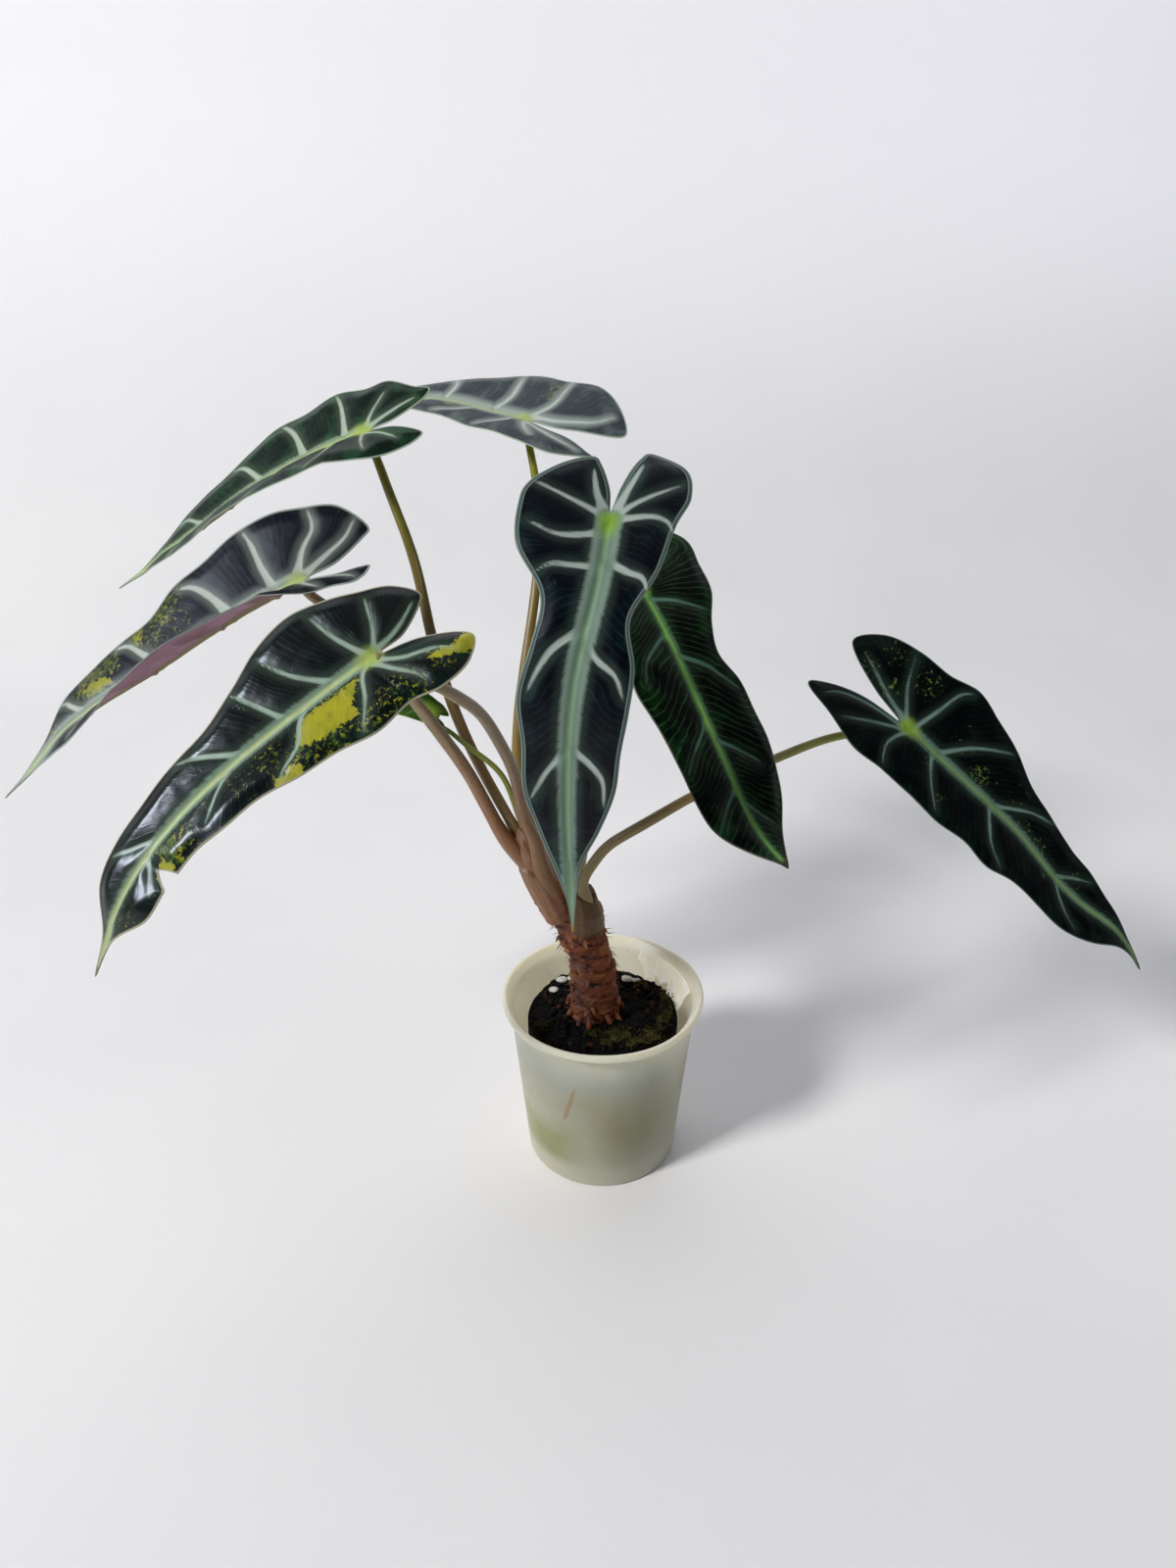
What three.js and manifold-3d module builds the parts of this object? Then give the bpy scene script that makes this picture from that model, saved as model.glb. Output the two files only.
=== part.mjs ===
// A potted alocasia with narrow arrow-shaped leaves, in a small flared nursery cup.
// Units are millimetres, +Z is up, and the origin is the centre of the cup's flat base.
// Each blade is laid out in its own plane, along and across its midrib, and then bent
// onto the midrib's curve in space.

import * as THREE from 'three';
import { mergeVertices } from 'three/addons/utils/BufferGeometryUtils.js';
import Module from 'manifold-3d';

const wasm = await Module();
wasm.setup();

// Cup
const CUP_HEIGHT = 70.5;
const CUP_BASE_RADIUS = 28.7;
const CUP_TAPER = 0.088;
const CUP_WALL = 1.1;
const CUP_FLOOR = 1.6;
const CUP_FOOT_CHAMFER = 0.8;
const LIP_RADIUS = 37.5;
const LIP_HEIGHT = 3.0;
const LIP_INNER_RADIUS = 36.3;
const CUP_SEGMENTS = 48;
const DRAIN_RADIUS = 3.0;
const DRAIN_RING_RADIUS = 18.0;
const DRAIN_COUNT = 4;

// Root plug
const SOIL_TOP = 62.0;
const SOIL_TOP_RADIUS = 28.3;
const SOIL_SHOULDER = 3.0;
const SOIL_SEGMENTS = 32;

// Blades and petioles
const BLADE_THICKNESS = 0.9;
const BLADE_STEPS = 26;
const BLADE_STRIPS = 2;
const LOBE_STEPS = 6;
const LOBE_END = 3;
const ROWS_PER_STATION = 2;
const RISE_STATIONS = [-0.16, 0.08, 0.5, 1];
const CURL_STATIONS = [0, 0.5, 1];
const CURL_WIDTH = 20;
const SPINE_SAMPLES = 80;
const SINUS_DEPTH = 3;
const PETIOLE_SIDES = 8;
const PETIOLE_STEPS = 14;
const SOCKET_NARROWING = 0.7;
const GAP = 0.3;

// The blades: control points of each midrib from the petiole joint to the tip, the way the
// upper side faces at the joint, the lobes' backward lean in degrees per 10 mm, and for
// each half, seen with the tip down and the upper side in front: the lobe, the half-widths
// at every tenth of the midrib, the half's rise from the flat plane in degrees at the lobe
// end, near the joint, halfway and at the tip, and its further curl over CURL_WIDTH.
// A petiole's route runs from its socket in a sheath up to the joint.
const LEAVES = {
  upper_left: {
    spine: [[-76, 25, 270], [-96, 29, 261], [-119, 33, 248], [-142, 37, 232], [-157, 39, 222], [-169, 41, 213.5]],
    face: [0.12, -0.27, 0.95],
    lean: 6,
    left: {
      lobe: { length: 26, end: 9, gap: 1, back: 10, front: 16 },
      margin: [18.5, 21.5, 19, 19, 16.5, 13.5, 12.5, 10, 5, 1.2],
      rise: [20, 20, 23, 18],
      curl: [7, 6, 4],
    },
    right: {
      lobe: { length: 22, end: 8, gap: 2, back: 13, front: 17 },
      margin: [18, 18, 17.5, 16, 15, 15, 13, 10, 6, 1.2],
      rise: [-16, 9, 14, 0],
      curl: [0, 0, 0],
    },
    petiole: {
      route: [[-29.5, 3, 136], [-33, 3, 143], [-42, 5.5, 161], [-50, 9, 180], [-58, 14, 211], [-62, 18, 231], [-69, 22, 252]],
      radii: [1.9, 1.9, 1.7, 1.3],
    },
  },
  back: {
    spine: [[-27, 60, 267], [-42, 73, 268], [-58, 86, 269], [-80, 101, 265], [-107, 112, 256]],
    face: [0.0, -0.25, 0.97],
    lean: 6,
    left: {
      lobe: { length: 36, end: 9, gap: 2, back: 20, front: 25 },
      margin: [24, 24, 22.5, 18.5, 15, 13, 12, 10, 6, 2],
      rise: [14, 14, 13, 10],
      curl: [0, 0, 0],
    },
    right: {
      lobe: { length: 33, end: 4, gap: 1, back: 15, front: 17 },
      margin: [17, 17, 16, 15, 15.5, 14.5, 12.5, 9.5, 6, 2],
      rise: [8, 8, 9, 4],
      curl: [0, 0, 0],
    },
    petiole: {
      route: [[-24.5, 5, 138], [-27.5, 6.5, 146], [-30, 10, 164], [-24, 28, 211], [-24, 54, 251]],
      radii: [1.7, 1.7, 1.6, 1.2],
    },
  },
  left: {
    spine: [[-95.5, 0, 229.5], [-115, -4.5, 220], [-145.5, -10, 201.5], [-165, -12, 190], [-184, -13.5, 173.5], [-197, -14, 160]],
    face: [-0.5, -0.2, 0.84],
    lean: 4,
    left: {
      lobe: { length: 27, end: 6, gap: 0.5, back: 16, front: 22 },
      margin: [25, 25.5, 23, 22, 17.5, 16.5, 13.5, 10, 4, 1],
      rise: [42, 35, 29, 32],
      curl: [10, 4, 4.5],
    },
    right: {
      lobe: { length: 22.5, end: 6, gap: 4, back: 11.5, front: 13 },
      margin: [19, 18.5, 19, 20, 16.5, 12, 10.5, 9, 4, 1],
      rise: [-23, 12, 13, -25],
      curl: [2, 42, -3],
    },
    petiole: {
      route: [[-34, -1, 137], [-38, -1, 145], [-45, -1, 161], [-53, -1, 175], [-62, -1, 189], [-77, 0, 209], [-89, 0, 222]],
      radii: [2.3, 2.2, 2.0, 1.5],
    },
  },
  front_left: {
    spine: [[-64, -55, 226], [-82, -65, 215], [-104, -78, 200], [-123, -89, 181], [-133, -95, 164], [-138, -98, 151]],
    face: [-0.3, -0.55, 0.78],
    lean: 4,
    left: {
      lobe: { length: 23, end: 7, gap: 0.5, back: 13, front: 18.5 },
      margin: [22, 25, 23, 18, 14, 13, 11.5, 11, 9, 2],
      rise: [20, 20, 10, 7],
      curl: [0, 0, 0],
    },
    right: {
      lobe: { length: 26, end: 12, gap: 2.5, back: 18.5, front: 20.5 },
      margin: [18.5, 20, 17.5, 16.5, 13.5, 13, 11, 10.5, 10, 1.8],
      rise: [-5, -5, -1, -4],
      curl: [0, 0, 0],
    },
    petiole: {
      route: [[-23.5, -4, 137], [-26, -5, 144], [-29, -8, 162], [-34, -16, 182], [-38, -22, 193], [-43, -32, 203], [-52, -44, 214]],
      radii: [2.1, 2.0, 1.9, 1.4],
    },
  },
  front: {
    spine: [[0, -50, 262], [-3, -62, 249], [-8, -72, 231], [-11, -75, 203], [-11, -73, 173], [-10, -70, 145]],
    face: [0.05, -0.75, 0.65],
    lean: 10,
    left: {
      lobe: { length: 20, end: 7, gap: 1, back: 15, front: 22 },
      margin: [24, 22.5, 13.5, 13, 14.5, 12.5, 12, 8.5, 4.5, 1.2],
      rise: [6, 6, 0, 3],
      curl: [0, 0, 0],
    },
    right: {
      lobe: { length: 25, end: 9, gap: 2, back: 18.5, front: 20.5 },
      margin: [17.5, 15, 10.5, 14.5, 15, 14, 13, 9, 3.5, 1.5],
      rise: [8, 8, 3, 4],
      curl: [0, 0, 0],
    },
    petiole: {
      route: [[-11.5, -1.5, 113], [-12.5, -2.5, 121], [-11, -6, 135], [-8, -13, 158], [-3, -25, 190], [0, -36, 222], [0, -44, 247]],
      radii: [2.0, 1.9, 1.8, 1.4],
    },
  },
  front_right: {
    spine: [[10, -5, 230], [19, -16, 216], [29, -27, 197], [39, -40, 178], [47, -49, 165], [54, -57, 160]],
    face: [0.5, -0.35, 0.8],
    lean: 6,
    left: {
      lobe: { length: 24, end: 7, gap: 2.5, back: 14, front: 17 },
      margin: [17, 17, 18, 21, 19.5, 17.5, 17, 17, 15, 8],
      rise: [0, 0, -8, -3],
      curl: [0, 0, 0],
    },
    right: {
      lobe: { length: 26, end: 7, gap: 2.5, back: 14, front: 24 },
      margin: [24, 23, 17.5, 15, 18.5, 19, 19.5, 18, 15, 7.5],
      rise: [18, 18, 15, 9],
      curl: [0, 0, 0],
    },
    petiole: {
      route: [[-8, 2.5, 113], [-8.4, 2.8, 121], [-6.5, 4, 133], [-2, 5, 155], [4, 6, 185], [8, 3, 212]],
      radii: [1.8, 1.7, 1.6, 1.3],
    },
  },
  right: {
    spine: [[97, -10, 184], [115, -14, 168], [137, -18, 148], [158, -23, 126], [175, -26, 113], [183, -28, 101]],
    face: [0.4, -0.65, 0.7],
    lean: 6,
    left: {
      lobe: { length: 36, end: 5.5, gap: 1.5, back: 13.5, front: 18 },
      margin: [20, 19, 20, 18.5, 19.5, 15.5, 13.5, 13, 9.5, 3],
      rise: [1, 1, 2, 3],
      curl: [0, 0, 0],
    },
    right: {
      lobe: { length: 30, end: 13, gap: 2.5, back: 19.5, front: 22 },
      margin: [22.5, 26, 24, 21, 15.5, 14, 13, 12, 7, 2],
      rise: [22, 22, 11, 4],
      curl: [0, 0, 0],
    },
    petiole: {
      route: [[-6.2, -4.4, 113], [-7.4, -5, 121], [-4, -5, 129], [0, -5, 135], [8, -6, 142], [17, -6, 148], [28, -7, 156], [57, -8, 172], [80, -9, 181]],
      radii: [1.9, 1.8, 1.5, 1.2],
    },
  },
  young: {
    spine: [[-57.5, 5.5, 182], [-64, 5.5, 185.5], [-74, 5, 187.5], [-84, 4, 186.5], [-93, 3, 183]],
    face: [0.1, -0.65, 0.75],
    lean: 0,
    left: {
      lobe: { length: 5.5, end: 2, gap: 0.5, back: 3.2, front: 4.2 },
      margin: [4.5, 5.2, 5.5, 5.5, 5, 4.5, 3.8, 2.8, 1.8, 0.7],
      rise: [8, 8, 6, 4],
      curl: [0, 0, 0],
    },
    right: {
      lobe: { length: 5.5, end: 2, gap: 0.5, back: 3.2, front: 4.2 },
      margin: [4.5, 5.2, 5.5, 5.5, 5, 4.5, 3.8, 2.8, 1.8, 0.7],
      rise: [6, 6, 4, 2],
      curl: [0, 0, 0],
    },
    petiole: {
      route: [[-27, 1, 138], [-29.5, 1.5, 145], [-35, 2.8, 160], [-46.8, 3, 171.5], [-52, 3.5, 176]],
      radii: [1.0, 1.0, 0.9, 0.7],
    },
  },
};

// Stem and sheaths: axis points, and the half-widths across x and y at each
const STEM = {
  axis: [[-2.5, 0, 50], [-3, 0, 62], [-3.2, 0, 74], [-4, 0, 84], [-6, 0, 92], [-8.6, 0, 99], [-10, 0, 106]],
  across: [9.4, 9.6, 9.2, 8.7, 8.2, 8.8, 8.8],
  deep: [9.2, 9.2, 9.0, 8.6, 8.2, 8.0, 7.6],
};
const LEFT_SHEATH = {
  axis: [[-15.8, 0, 106], [-18.3, 0, 112], [-21.5, 0, 121], [-25.8, 0, 130], [-30.8, 0, 142]],
  across: [4.2, 5.8, 5.8, 6.0, 6.4],
  deep: [6.0, 6.6, 6.8, 7.0, 7.4],
};
const RIGHT_SHEATH = {
  axis: [[-7, -1.5, 99.5], [-7, -1.5, 105], [-8.4, -1.5, 112], [-9.4, -1.5, 120]],
  across: [6.4, 7.0, 6.0, 5.4],
  deep: [7.2, 7.4, 6.6, 6.4],
};
const PLANTED = {
  left_sheath: ['left', 'upper_left', 'front_left', 'back', 'young'],
  right_sheath: ['front', 'front_right', 'right'],
};

// Moss and perlite on the soil: centre on the plan, radius and height
const MOSS = [[5.5, -15, 5.2, 2.2], [-3, -14, 2.8, 1.6], [18, -15.5, 3.6, 1.6]];
const PERLITE = [[-15.5, 17.5, 2.2, 1.6], [-11.8, 18.6, 1.8, 1.4], [-18.6, 11.5, 1.9, 1.4], [9.5, 18, 2.4, 1.7], [13, 17.2, 1.7, 1.3]];

const finish = (color, roughness) => new THREE.MeshStandardMaterial({ color, roughness, metalness: 0, side: THREE.DoubleSide });
const MATERIALS = {
  blade: finish(0x14332b, 0.35),
  youngBlade: finish(0x2f5a1c, 0.4),
  petiole: finish(0x75654a, 0.5),
  sheath: finish(0x8a5a3c, 0.55),
  stem: finish(0x8a4a2c, 0.85),
  soil: finish(0x17120e, 0.95),
  moss: finish(0x6a6a20, 0.95),
  perlite: finish(0xd8d4c8, 0.8),
  cup: finish(0xd3d4c2, 0.4),
};

const vec = ([x, y, z]) => new THREE.Vector3(x, y, z);
const rad = THREE.MathUtils.degToRad;

// Linear interpolation of values given at ascending stations
function valueAt(stations, values, s) {
  if (s <= stations[0]) return values[0];
  for (let i = 1; i < stations.length; i++) {
    if (s <= stations[i]) {
      const t = (s - stations[i - 1]) / (stations[i] - stations[i - 1]);
      return THREE.MathUtils.lerp(values[i - 1], values[i], t);
    }
  }
  return values[values.length - 1];
}

// A closed geometry as a manifold solid, and back
function solidOf(geometry) {
  const bare = geometry.clone();
  for (const name of Object.keys(bare.attributes)) {
    if (name !== 'position') bare.deleteAttribute(name);
  }
  const merged = mergeVertices(bare, 1e-4);
  return new wasm.Manifold(new wasm.Mesh({
    numProp: 3,
    vertProperties: new Float32Array(merged.attributes.position.array),
    triVerts: new Uint32Array(merged.index.array),
  }));
}

function geometryOf(solid) {
  const mesh = solid.getMesh();
  const geometry = new THREE.BufferGeometry();
  geometry.setAttribute('position', new THREE.BufferAttribute(mesh.vertProperties, 3));
  geometry.setIndex(new THREE.BufferAttribute(mesh.triVerts, 1));
  geometry.computeVertexNormals();
  return geometry;
}

function subtractAll(geometry, cutters) {
  return geometryOf(cutters.reduce((solid, cutter) => solid.subtract(solidOf(cutter)), solidOf(geometry)));
}

// A natural cubic spline through the points of a midrib, spaced by the chords between them
class Midrib extends THREE.Curve {
  constructor(points) {
    super();
    this.points = points.map(vec);
    this.knots = [0];
    for (let i = 1; i < points.length; i++) {
      this.knots.push(this.knots[i - 1] + this.points[i].distanceTo(this.points[i - 1]));
    }
    this.bends = this.solveBends();
  }

  // The second derivative at every point, zero at both ends
  solveBends() {
    const { points, knots } = this;
    const bends = points.map(() => new THREE.Vector3());
    const carry = points.map(() => 0);
    for (let i = 1; i < points.length - 1; i++) {
      const before = knots[i] - knots[i - 1];
      const after = knots[i + 1] - knots[i];
      const pivot = 2 * (before + after) - before * carry[i - 1];
      carry[i] = after / pivot;
      const arriving = points[i].clone().sub(points[i - 1]).divideScalar(before);
      const leaving = points[i + 1].clone().sub(points[i]).divideScalar(after);
      bends[i] = leaving.sub(arriving).multiplyScalar(6).addScaledVector(bends[i - 1], -before);
      bends[i].divideScalar(pivot);
    }
    for (let i = points.length - 2; i > 0; i--) bends[i].addScaledVector(bends[i + 1], -carry[i]);
    return bends;
  }

  getPoint(t) {
    const { points, knots, bends } = this;
    const place = t * knots.at(-1);
    const i = THREE.MathUtils.clamp(knots.findIndex((knot) => knot >= place), 1, knots.length - 1);
    const step = knots[i] - knots[i - 1];
    const a = (knots[i] - place) / step;
    const b = 1 - a;
    return new THREE.Vector3()
      .addScaledVector(points[i - 1], a)
      .addScaledVector(points[i], b)
      .addScaledVector(bends[i - 1], (a ** 3 - a) * step ** 2 / 6)
      .addScaledVector(bends[i], (b ** 3 - b) * step ** 2 / 6);
  }
}

// The frame of a blade: points, directions and upward normals along its midrib
function bladeFrame(leaf) {
  const curve = new Midrib(leaf.spine);
  const length = curve.getLength();
  const samples = [];
  let normal = vec(leaf.face);
  for (let i = 0; i <= SPINE_SAMPLES; i++) {
    const tangent = curve.getTangentAt(i / SPINE_SAMPLES);
    normal = normal.clone().addScaledVector(tangent, -normal.dot(tangent)).normalize();
    samples.push({ point: curve.getPointAt(i / SPINE_SAMPLES), tangent, normal });
  }
  const lean = rad(leaf.lean) / 10;
  return (along) => {
    const place = THREE.MathUtils.clamp(along / length, 0, 1) * SPINE_SAMPLES;
    const low = Math.min(Math.floor(place), SPINE_SAMPLES - 1);
    const mix = (key) => samples[low][key].clone().lerp(samples[low + 1][key], place - low);
    const point = mix('point');
    const tangent = mix('tangent').normalize();
    const normal = mix('normal').normalize();
    const across = tangent.clone().cross(normal);
    if (along < 0) {
      const turn = -along * lean;
      const run = lean ? Math.sin(turn) / lean : -along;
      const drop = lean ? (1 - Math.cos(turn)) / lean : 0;
      point.addScaledVector(tangent, -run).addScaledVector(normal, -drop);
      normal.multiplyScalar(Math.cos(turn)).addScaledVector(tangent, -Math.sin(turn));
    }
    return { point, normal, across, length };
  };
}

// A point of the blade: along the midrib, across it on one side, and off its middle surface
function bladePoint(frame, half, side, along, across, off) {
  const { point, normal, across: sideways, length } = frame(along);
  const rise = rad(valueAt(RISE_STATIONS, half.rise, along / length));
  const curl = rad(valueAt(CURL_STATIONS, half.curl, along / length)) / CURL_WIDTH;
  const reach = curl ? (Math.sin(rise + curl * across) - Math.sin(rise)) / curl : across * Math.cos(rise);
  const lift = curl ? (Math.cos(rise) - Math.cos(rise + curl * across)) / curl : across * Math.sin(rise);
  const tilt = across > 0 ? rise + curl * across : 0;
  return point
    .addScaledVector(sideways, -side * (reach - off * Math.sin(tilt)))
    .addScaledVector(normal, lift + off * Math.cos(tilt));
}

// A half's edge as points along and across the midrib, from the sinus round the lobe to
// the blade's tip; the lobe's end is the point number LOBE_END
function halfEdge({ lobe, margin }, length) {
  const points = [
    [-SINUS_DEPTH, 0],
    [-0.5 * lobe.length, lobe.gap],
    [-0.88 * lobe.length, 0.55 * lobe.end + 0.3 * lobe.gap],
    [-lobe.length, lobe.end],
    [-0.74 * lobe.length, lobe.back],
    [-0.36 * lobe.length, lobe.front],
  ];
  margin.forEach((width, i) => points.push([(length * i) / margin.length, width]));
  points.push([length, 0]);
  const curve = new THREE.SplineCurve(points.map(([x, y]) => new THREE.Vector2(x, y)));
  return (number) => curve.getPoint(number / (points.length - 1));
}

// One half's rows of points, each from the sinus or midrib out to the margin, with an
// upper and a lower point at every place
function halfRows(leaf, key, side, thickness) {
  const frame = bladeFrame(leaf);
  const { length } = frame(0);
  const edge = halfEdge(leaf[key], length);
  const rows = [];
  for (let p = 0; p <= BLADE_STEPS; p++) {
    const onLobe = p <= LOBE_STEPS;
    const down = (p - LOBE_STEPS) / (BLADE_STEPS - LOBE_STEPS);
    const start = onLobe ? edge(LOBE_END * (1 - p / LOBE_STEPS))
      : new THREE.Vector2(THREE.MathUtils.lerp(-SINUS_DEPTH, length, down), 0);
    const end = edge(LOBE_END + p / ROWS_PER_STATION);
    const row = [];
    for (let q = 0; q <= BLADE_STRIPS; q++) {
      const spot = start.clone().lerp(end, q / BLADE_STRIPS);
      const at = (off) => bladePoint(frame, leaf[key], side, spot.x, Math.max(spot.y, 0), off);
      row.push([at(thickness / 2), at(-thickness / 2)]);
    }
    rows.push(row);
  }
  return rows;
}

// A blade as one closed shell: both halves share the midrib, and the walls run only
// round the outline
function bladeGeometry(leaf, thickness) {
  const corners = [];
  for (const [key, side] of [['left', -1], ['right', 1]]) {
    const rows = halfRows(leaf, key, side, thickness);
    const quad = (a, b, c, d) => corners.push(...(side > 0 ? [a, b, c, a, c, d] : [a, c, b, a, d, c]));
    for (let p = 0; p < BLADE_STEPS; p++) {
      const [near, far] = [rows[p], rows[p + 1]];
      for (let q = 0; q < BLADE_STRIPS; q++) {
        quad(near[q][0], far[q][0], far[q + 1][0], near[q + 1][0]);
        quad(near[q][1], near[q + 1][1], far[q + 1][1], far[q][1]);
      }
      quad(near[BLADE_STRIPS][0], far[BLADE_STRIPS][0], far[BLADE_STRIPS][1], near[BLADE_STRIPS][1]);
      if (p < LOBE_STEPS) quad(near[0][0], near[0][1], far[0][1], far[0][0]);
    }
  }
  return closedGeometry(corners);
}

// Merges corner points into one indexed shell and drops triangles with no area
function closedGeometry(corners) {
  const loose = new THREE.BufferGeometry().setFromPoints(corners);
  const merged = mergeVertices(loose, 1e-3);
  const kept = [];
  const index = merged.index.array;
  for (let i = 0; i < index.length; i += 3) {
    const [a, b, c] = [index[i], index[i + 1], index[i + 2]];
    if (a !== b && b !== c && c !== a) kept.push(a, b, c);
  }
  merged.setIndex(kept);
  merged.computeVertexNormals();
  return merged;
}

// A round bar bent along a curve, with half-widths across x and y that change on the way;
// grown, it makes the cutter for the hole that the bar sits in
function barGeometry({ axis, across, deep }, sides, steps, grow = 0) {
  const curve = new THREE.CatmullRomCurve3(axis.map(vec), false, 'centripetal');
  const bar = new THREE.CylinderGeometry(1, 1, 1, sides, steps);
  const spot = bar.attributes.position;
  const stations = across.map((_, i) => i / (across.length - 1));
  for (let i = 0; i < spot.count; i++) {
    const t = spot.getY(i) + 0.5;
    const tangent = curve.getTangent(t);
    const sideways = new THREE.Vector3(0, 1, 0).cross(tangent).normalize();
    const forward = tangent.clone().cross(sideways);
    const overrun = (t > 0.999 ? grow : 0) - (t < 0.001 ? grow : 0);
    const point = curve.getPoint(t)
      .addScaledVector(tangent, overrun)
      .addScaledVector(sideways, spot.getX(i) * (valueAt(stations, across, t) + grow))
      .addScaledVector(forward, -spot.getZ(i) * (valueAt(stations, deep, t) + grow));
    spot.setXYZ(i, point.x, point.y, point.z);
  }
  return bar;
}

// A petiole narrows to SOCKET_NARROWING of its width down in its sheath, and its last
// stretch swings round to meet the blade from below
function petioleBar(leaf, grow = 0) {
  const { point, normal } = bladeFrame(leaf)(0);
  const joint = point.clone().addScaledVector(normal, -0.2);
  const below = point.clone().addScaledVector(normal, -4).lerp(vec(leaf.petiole.route.at(-1)), 0.25);
  const axis = [...leaf.petiole.route, below.toArray(), joint.toArray()];
  const { radii } = leaf.petiole;
  const stations = radii.map((_, i) => i / (radii.length - 1));
  const along = axis.map((_, i) => valueAt(stations, radii, i / (axis.length - 1)));
  along[0] *= SOCKET_NARROWING;
  return barGeometry({ axis, across: along, deep: along }, PETIOLE_SIDES, PETIOLE_STEPS, grow);
}

function petioleGeometry(leaf) {
  return subtractAll(petioleBar(leaf), [bladeGeometry(leaf, BLADE_THICKNESS + 2 * GAP)]);
}

function sheathGeometry(sheath, planted, neighbour) {
  const cutters = planted.map((name) => petioleBar(LEAVES[name], GAP));
  if (neighbour) cutters.push(barGeometry(neighbour, 12, 6, GAP));
  return subtractAll(barGeometry(sheath, 12, 6), cutters);
}

function stemGeometry() {
  const cutters = [LEFT_SHEATH, RIGHT_SHEATH].map((sheath) => barGeometry(sheath, 12, 6, GAP));
  return subtractAll(barGeometry(STEM, 14, 10), cutters);
}

function lathe(points, segments) {
  return new THREE.LatheGeometry(points.map(([r, z]) => new THREE.Vector2(r, z)), segments).rotateX(Math.PI / 2);
}

const cupRadius = (z) => CUP_BASE_RADIUS + CUP_TAPER * z;

function cupGeometry() {
  const lipFoot = CUP_HEIGHT - LIP_HEIGHT;
  const inner = (z) => cupRadius(z) - CUP_WALL;
  const shell = lathe([
    [0, 0], [CUP_BASE_RADIUS - CUP_FOOT_CHAMFER, 0], [cupRadius(CUP_FOOT_CHAMFER), CUP_FOOT_CHAMFER],
    [cupRadius(lipFoot), lipFoot], [LIP_RADIUS - 0.6, lipFoot], [LIP_RADIUS, lipFoot + 0.7],
    [LIP_RADIUS, CUP_HEIGHT - 0.6], [LIP_RADIUS - 0.5, CUP_HEIGHT], [LIP_INNER_RADIUS, CUP_HEIGHT],
    [inner(lipFoot - 1), lipFoot - 1], [inner(CUP_FLOOR + 1), CUP_FLOOR + 1], [inner(0) - 1, CUP_FLOOR], [0, CUP_FLOOR],
  ], CUP_SEGMENTS);
  const drains = [];
  for (let i = 0; i < DRAIN_COUNT; i++) {
    const angle = ((i + 0.5) * 2 * Math.PI) / DRAIN_COUNT;
    const drain = new THREE.CylinderGeometry(DRAIN_RADIUS, DRAIN_RADIUS, 3 * CUP_FLOOR, 16).rotateX(Math.PI / 2);
    drains.push(drain.translate(DRAIN_RING_RADIUS * Math.cos(angle), DRAIN_RING_RADIUS * Math.sin(angle), 0));
  }
  return subtractAll(shell, drains);
}

function soilGeometry() {
  const foot = CUP_FLOOR + GAP;
  const near = (z) => cupRadius(z) - CUP_WALL - GAP;
  const plug = lathe([
    [0, foot], [near(foot + 1) - 2, foot], [near(foot + 2), foot + 2], [SOIL_TOP_RADIUS, 20],
    [SOIL_TOP_RADIUS, SOIL_TOP - SOIL_SHOULDER], [SOIL_TOP_RADIUS - 1, SOIL_TOP - 0.8],
    [SOIL_TOP_RADIUS - 3, SOIL_TOP], [0, SOIL_TOP],
  ], SOIL_SEGMENTS);
  return subtractAll(plug, [barGeometry(STEM, 14, 10, GAP)]);
}

function clumpGeometry([x, y, radius, height], detail) {
  const clump = new THREE.IcosahedronGeometry(1, detail).scale(radius, radius * 0.8, height / 2);
  clump.computeBoundingBox();
  return clump.translate(x, y, SOIL_TOP + GAP - clump.boundingBox.min.z);
}

function named(name, geometry, material) {
  const mesh = new THREE.Mesh(geometry, material);
  mesh.name = name;
  return mesh;
}

const plant = new THREE.Group();
plant.add(named('nursery_cup', cupGeometry(), MATERIALS.cup));
plant.add(named('potting_soil', soilGeometry(), MATERIALS.soil));
plant.add(named('stem', stemGeometry(), MATERIALS.stem));
plant.add(named('left_sheath', sheathGeometry(LEFT_SHEATH, PLANTED.left_sheath), MATERIALS.sheath));
plant.add(named('right_sheath', sheathGeometry(RIGHT_SHEATH, PLANTED.right_sheath, LEFT_SHEATH), MATERIALS.sheath));
for (const [name, leaf] of Object.entries(LEAVES)) {
  const blade = name === 'young' ? MATERIALS.youngBlade : MATERIALS.blade;
  plant.add(named(`petiole_${name}`, petioleGeometry(leaf), MATERIALS.petiole));
  plant.add(named(`leaf_${name}`, bladeGeometry(leaf, BLADE_THICKNESS), blade));
}
MOSS.forEach((clump, i) => plant.add(named(`moss_${i + 1}`, clumpGeometry(clump, 1), MATERIALS.moss)));
PERLITE.forEach((grain, i) => plant.add(named(`perlite_${i + 1}`, clumpGeometry(grain, 0), MATERIALS.perlite)));

export default plant;
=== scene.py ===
"""Potted variegated bambino alocasia: leaves, stalks, trunk, compost and nursery cup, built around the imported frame.

Lengths are in millimetres unless a name says otherwise. +Z is up and the photograph looks along +Y.
"""
import itertools
import logging
import math
from dataclasses import dataclass, field, replace
from enum import Enum
from typing import Iterable, Sequence, Union

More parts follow.
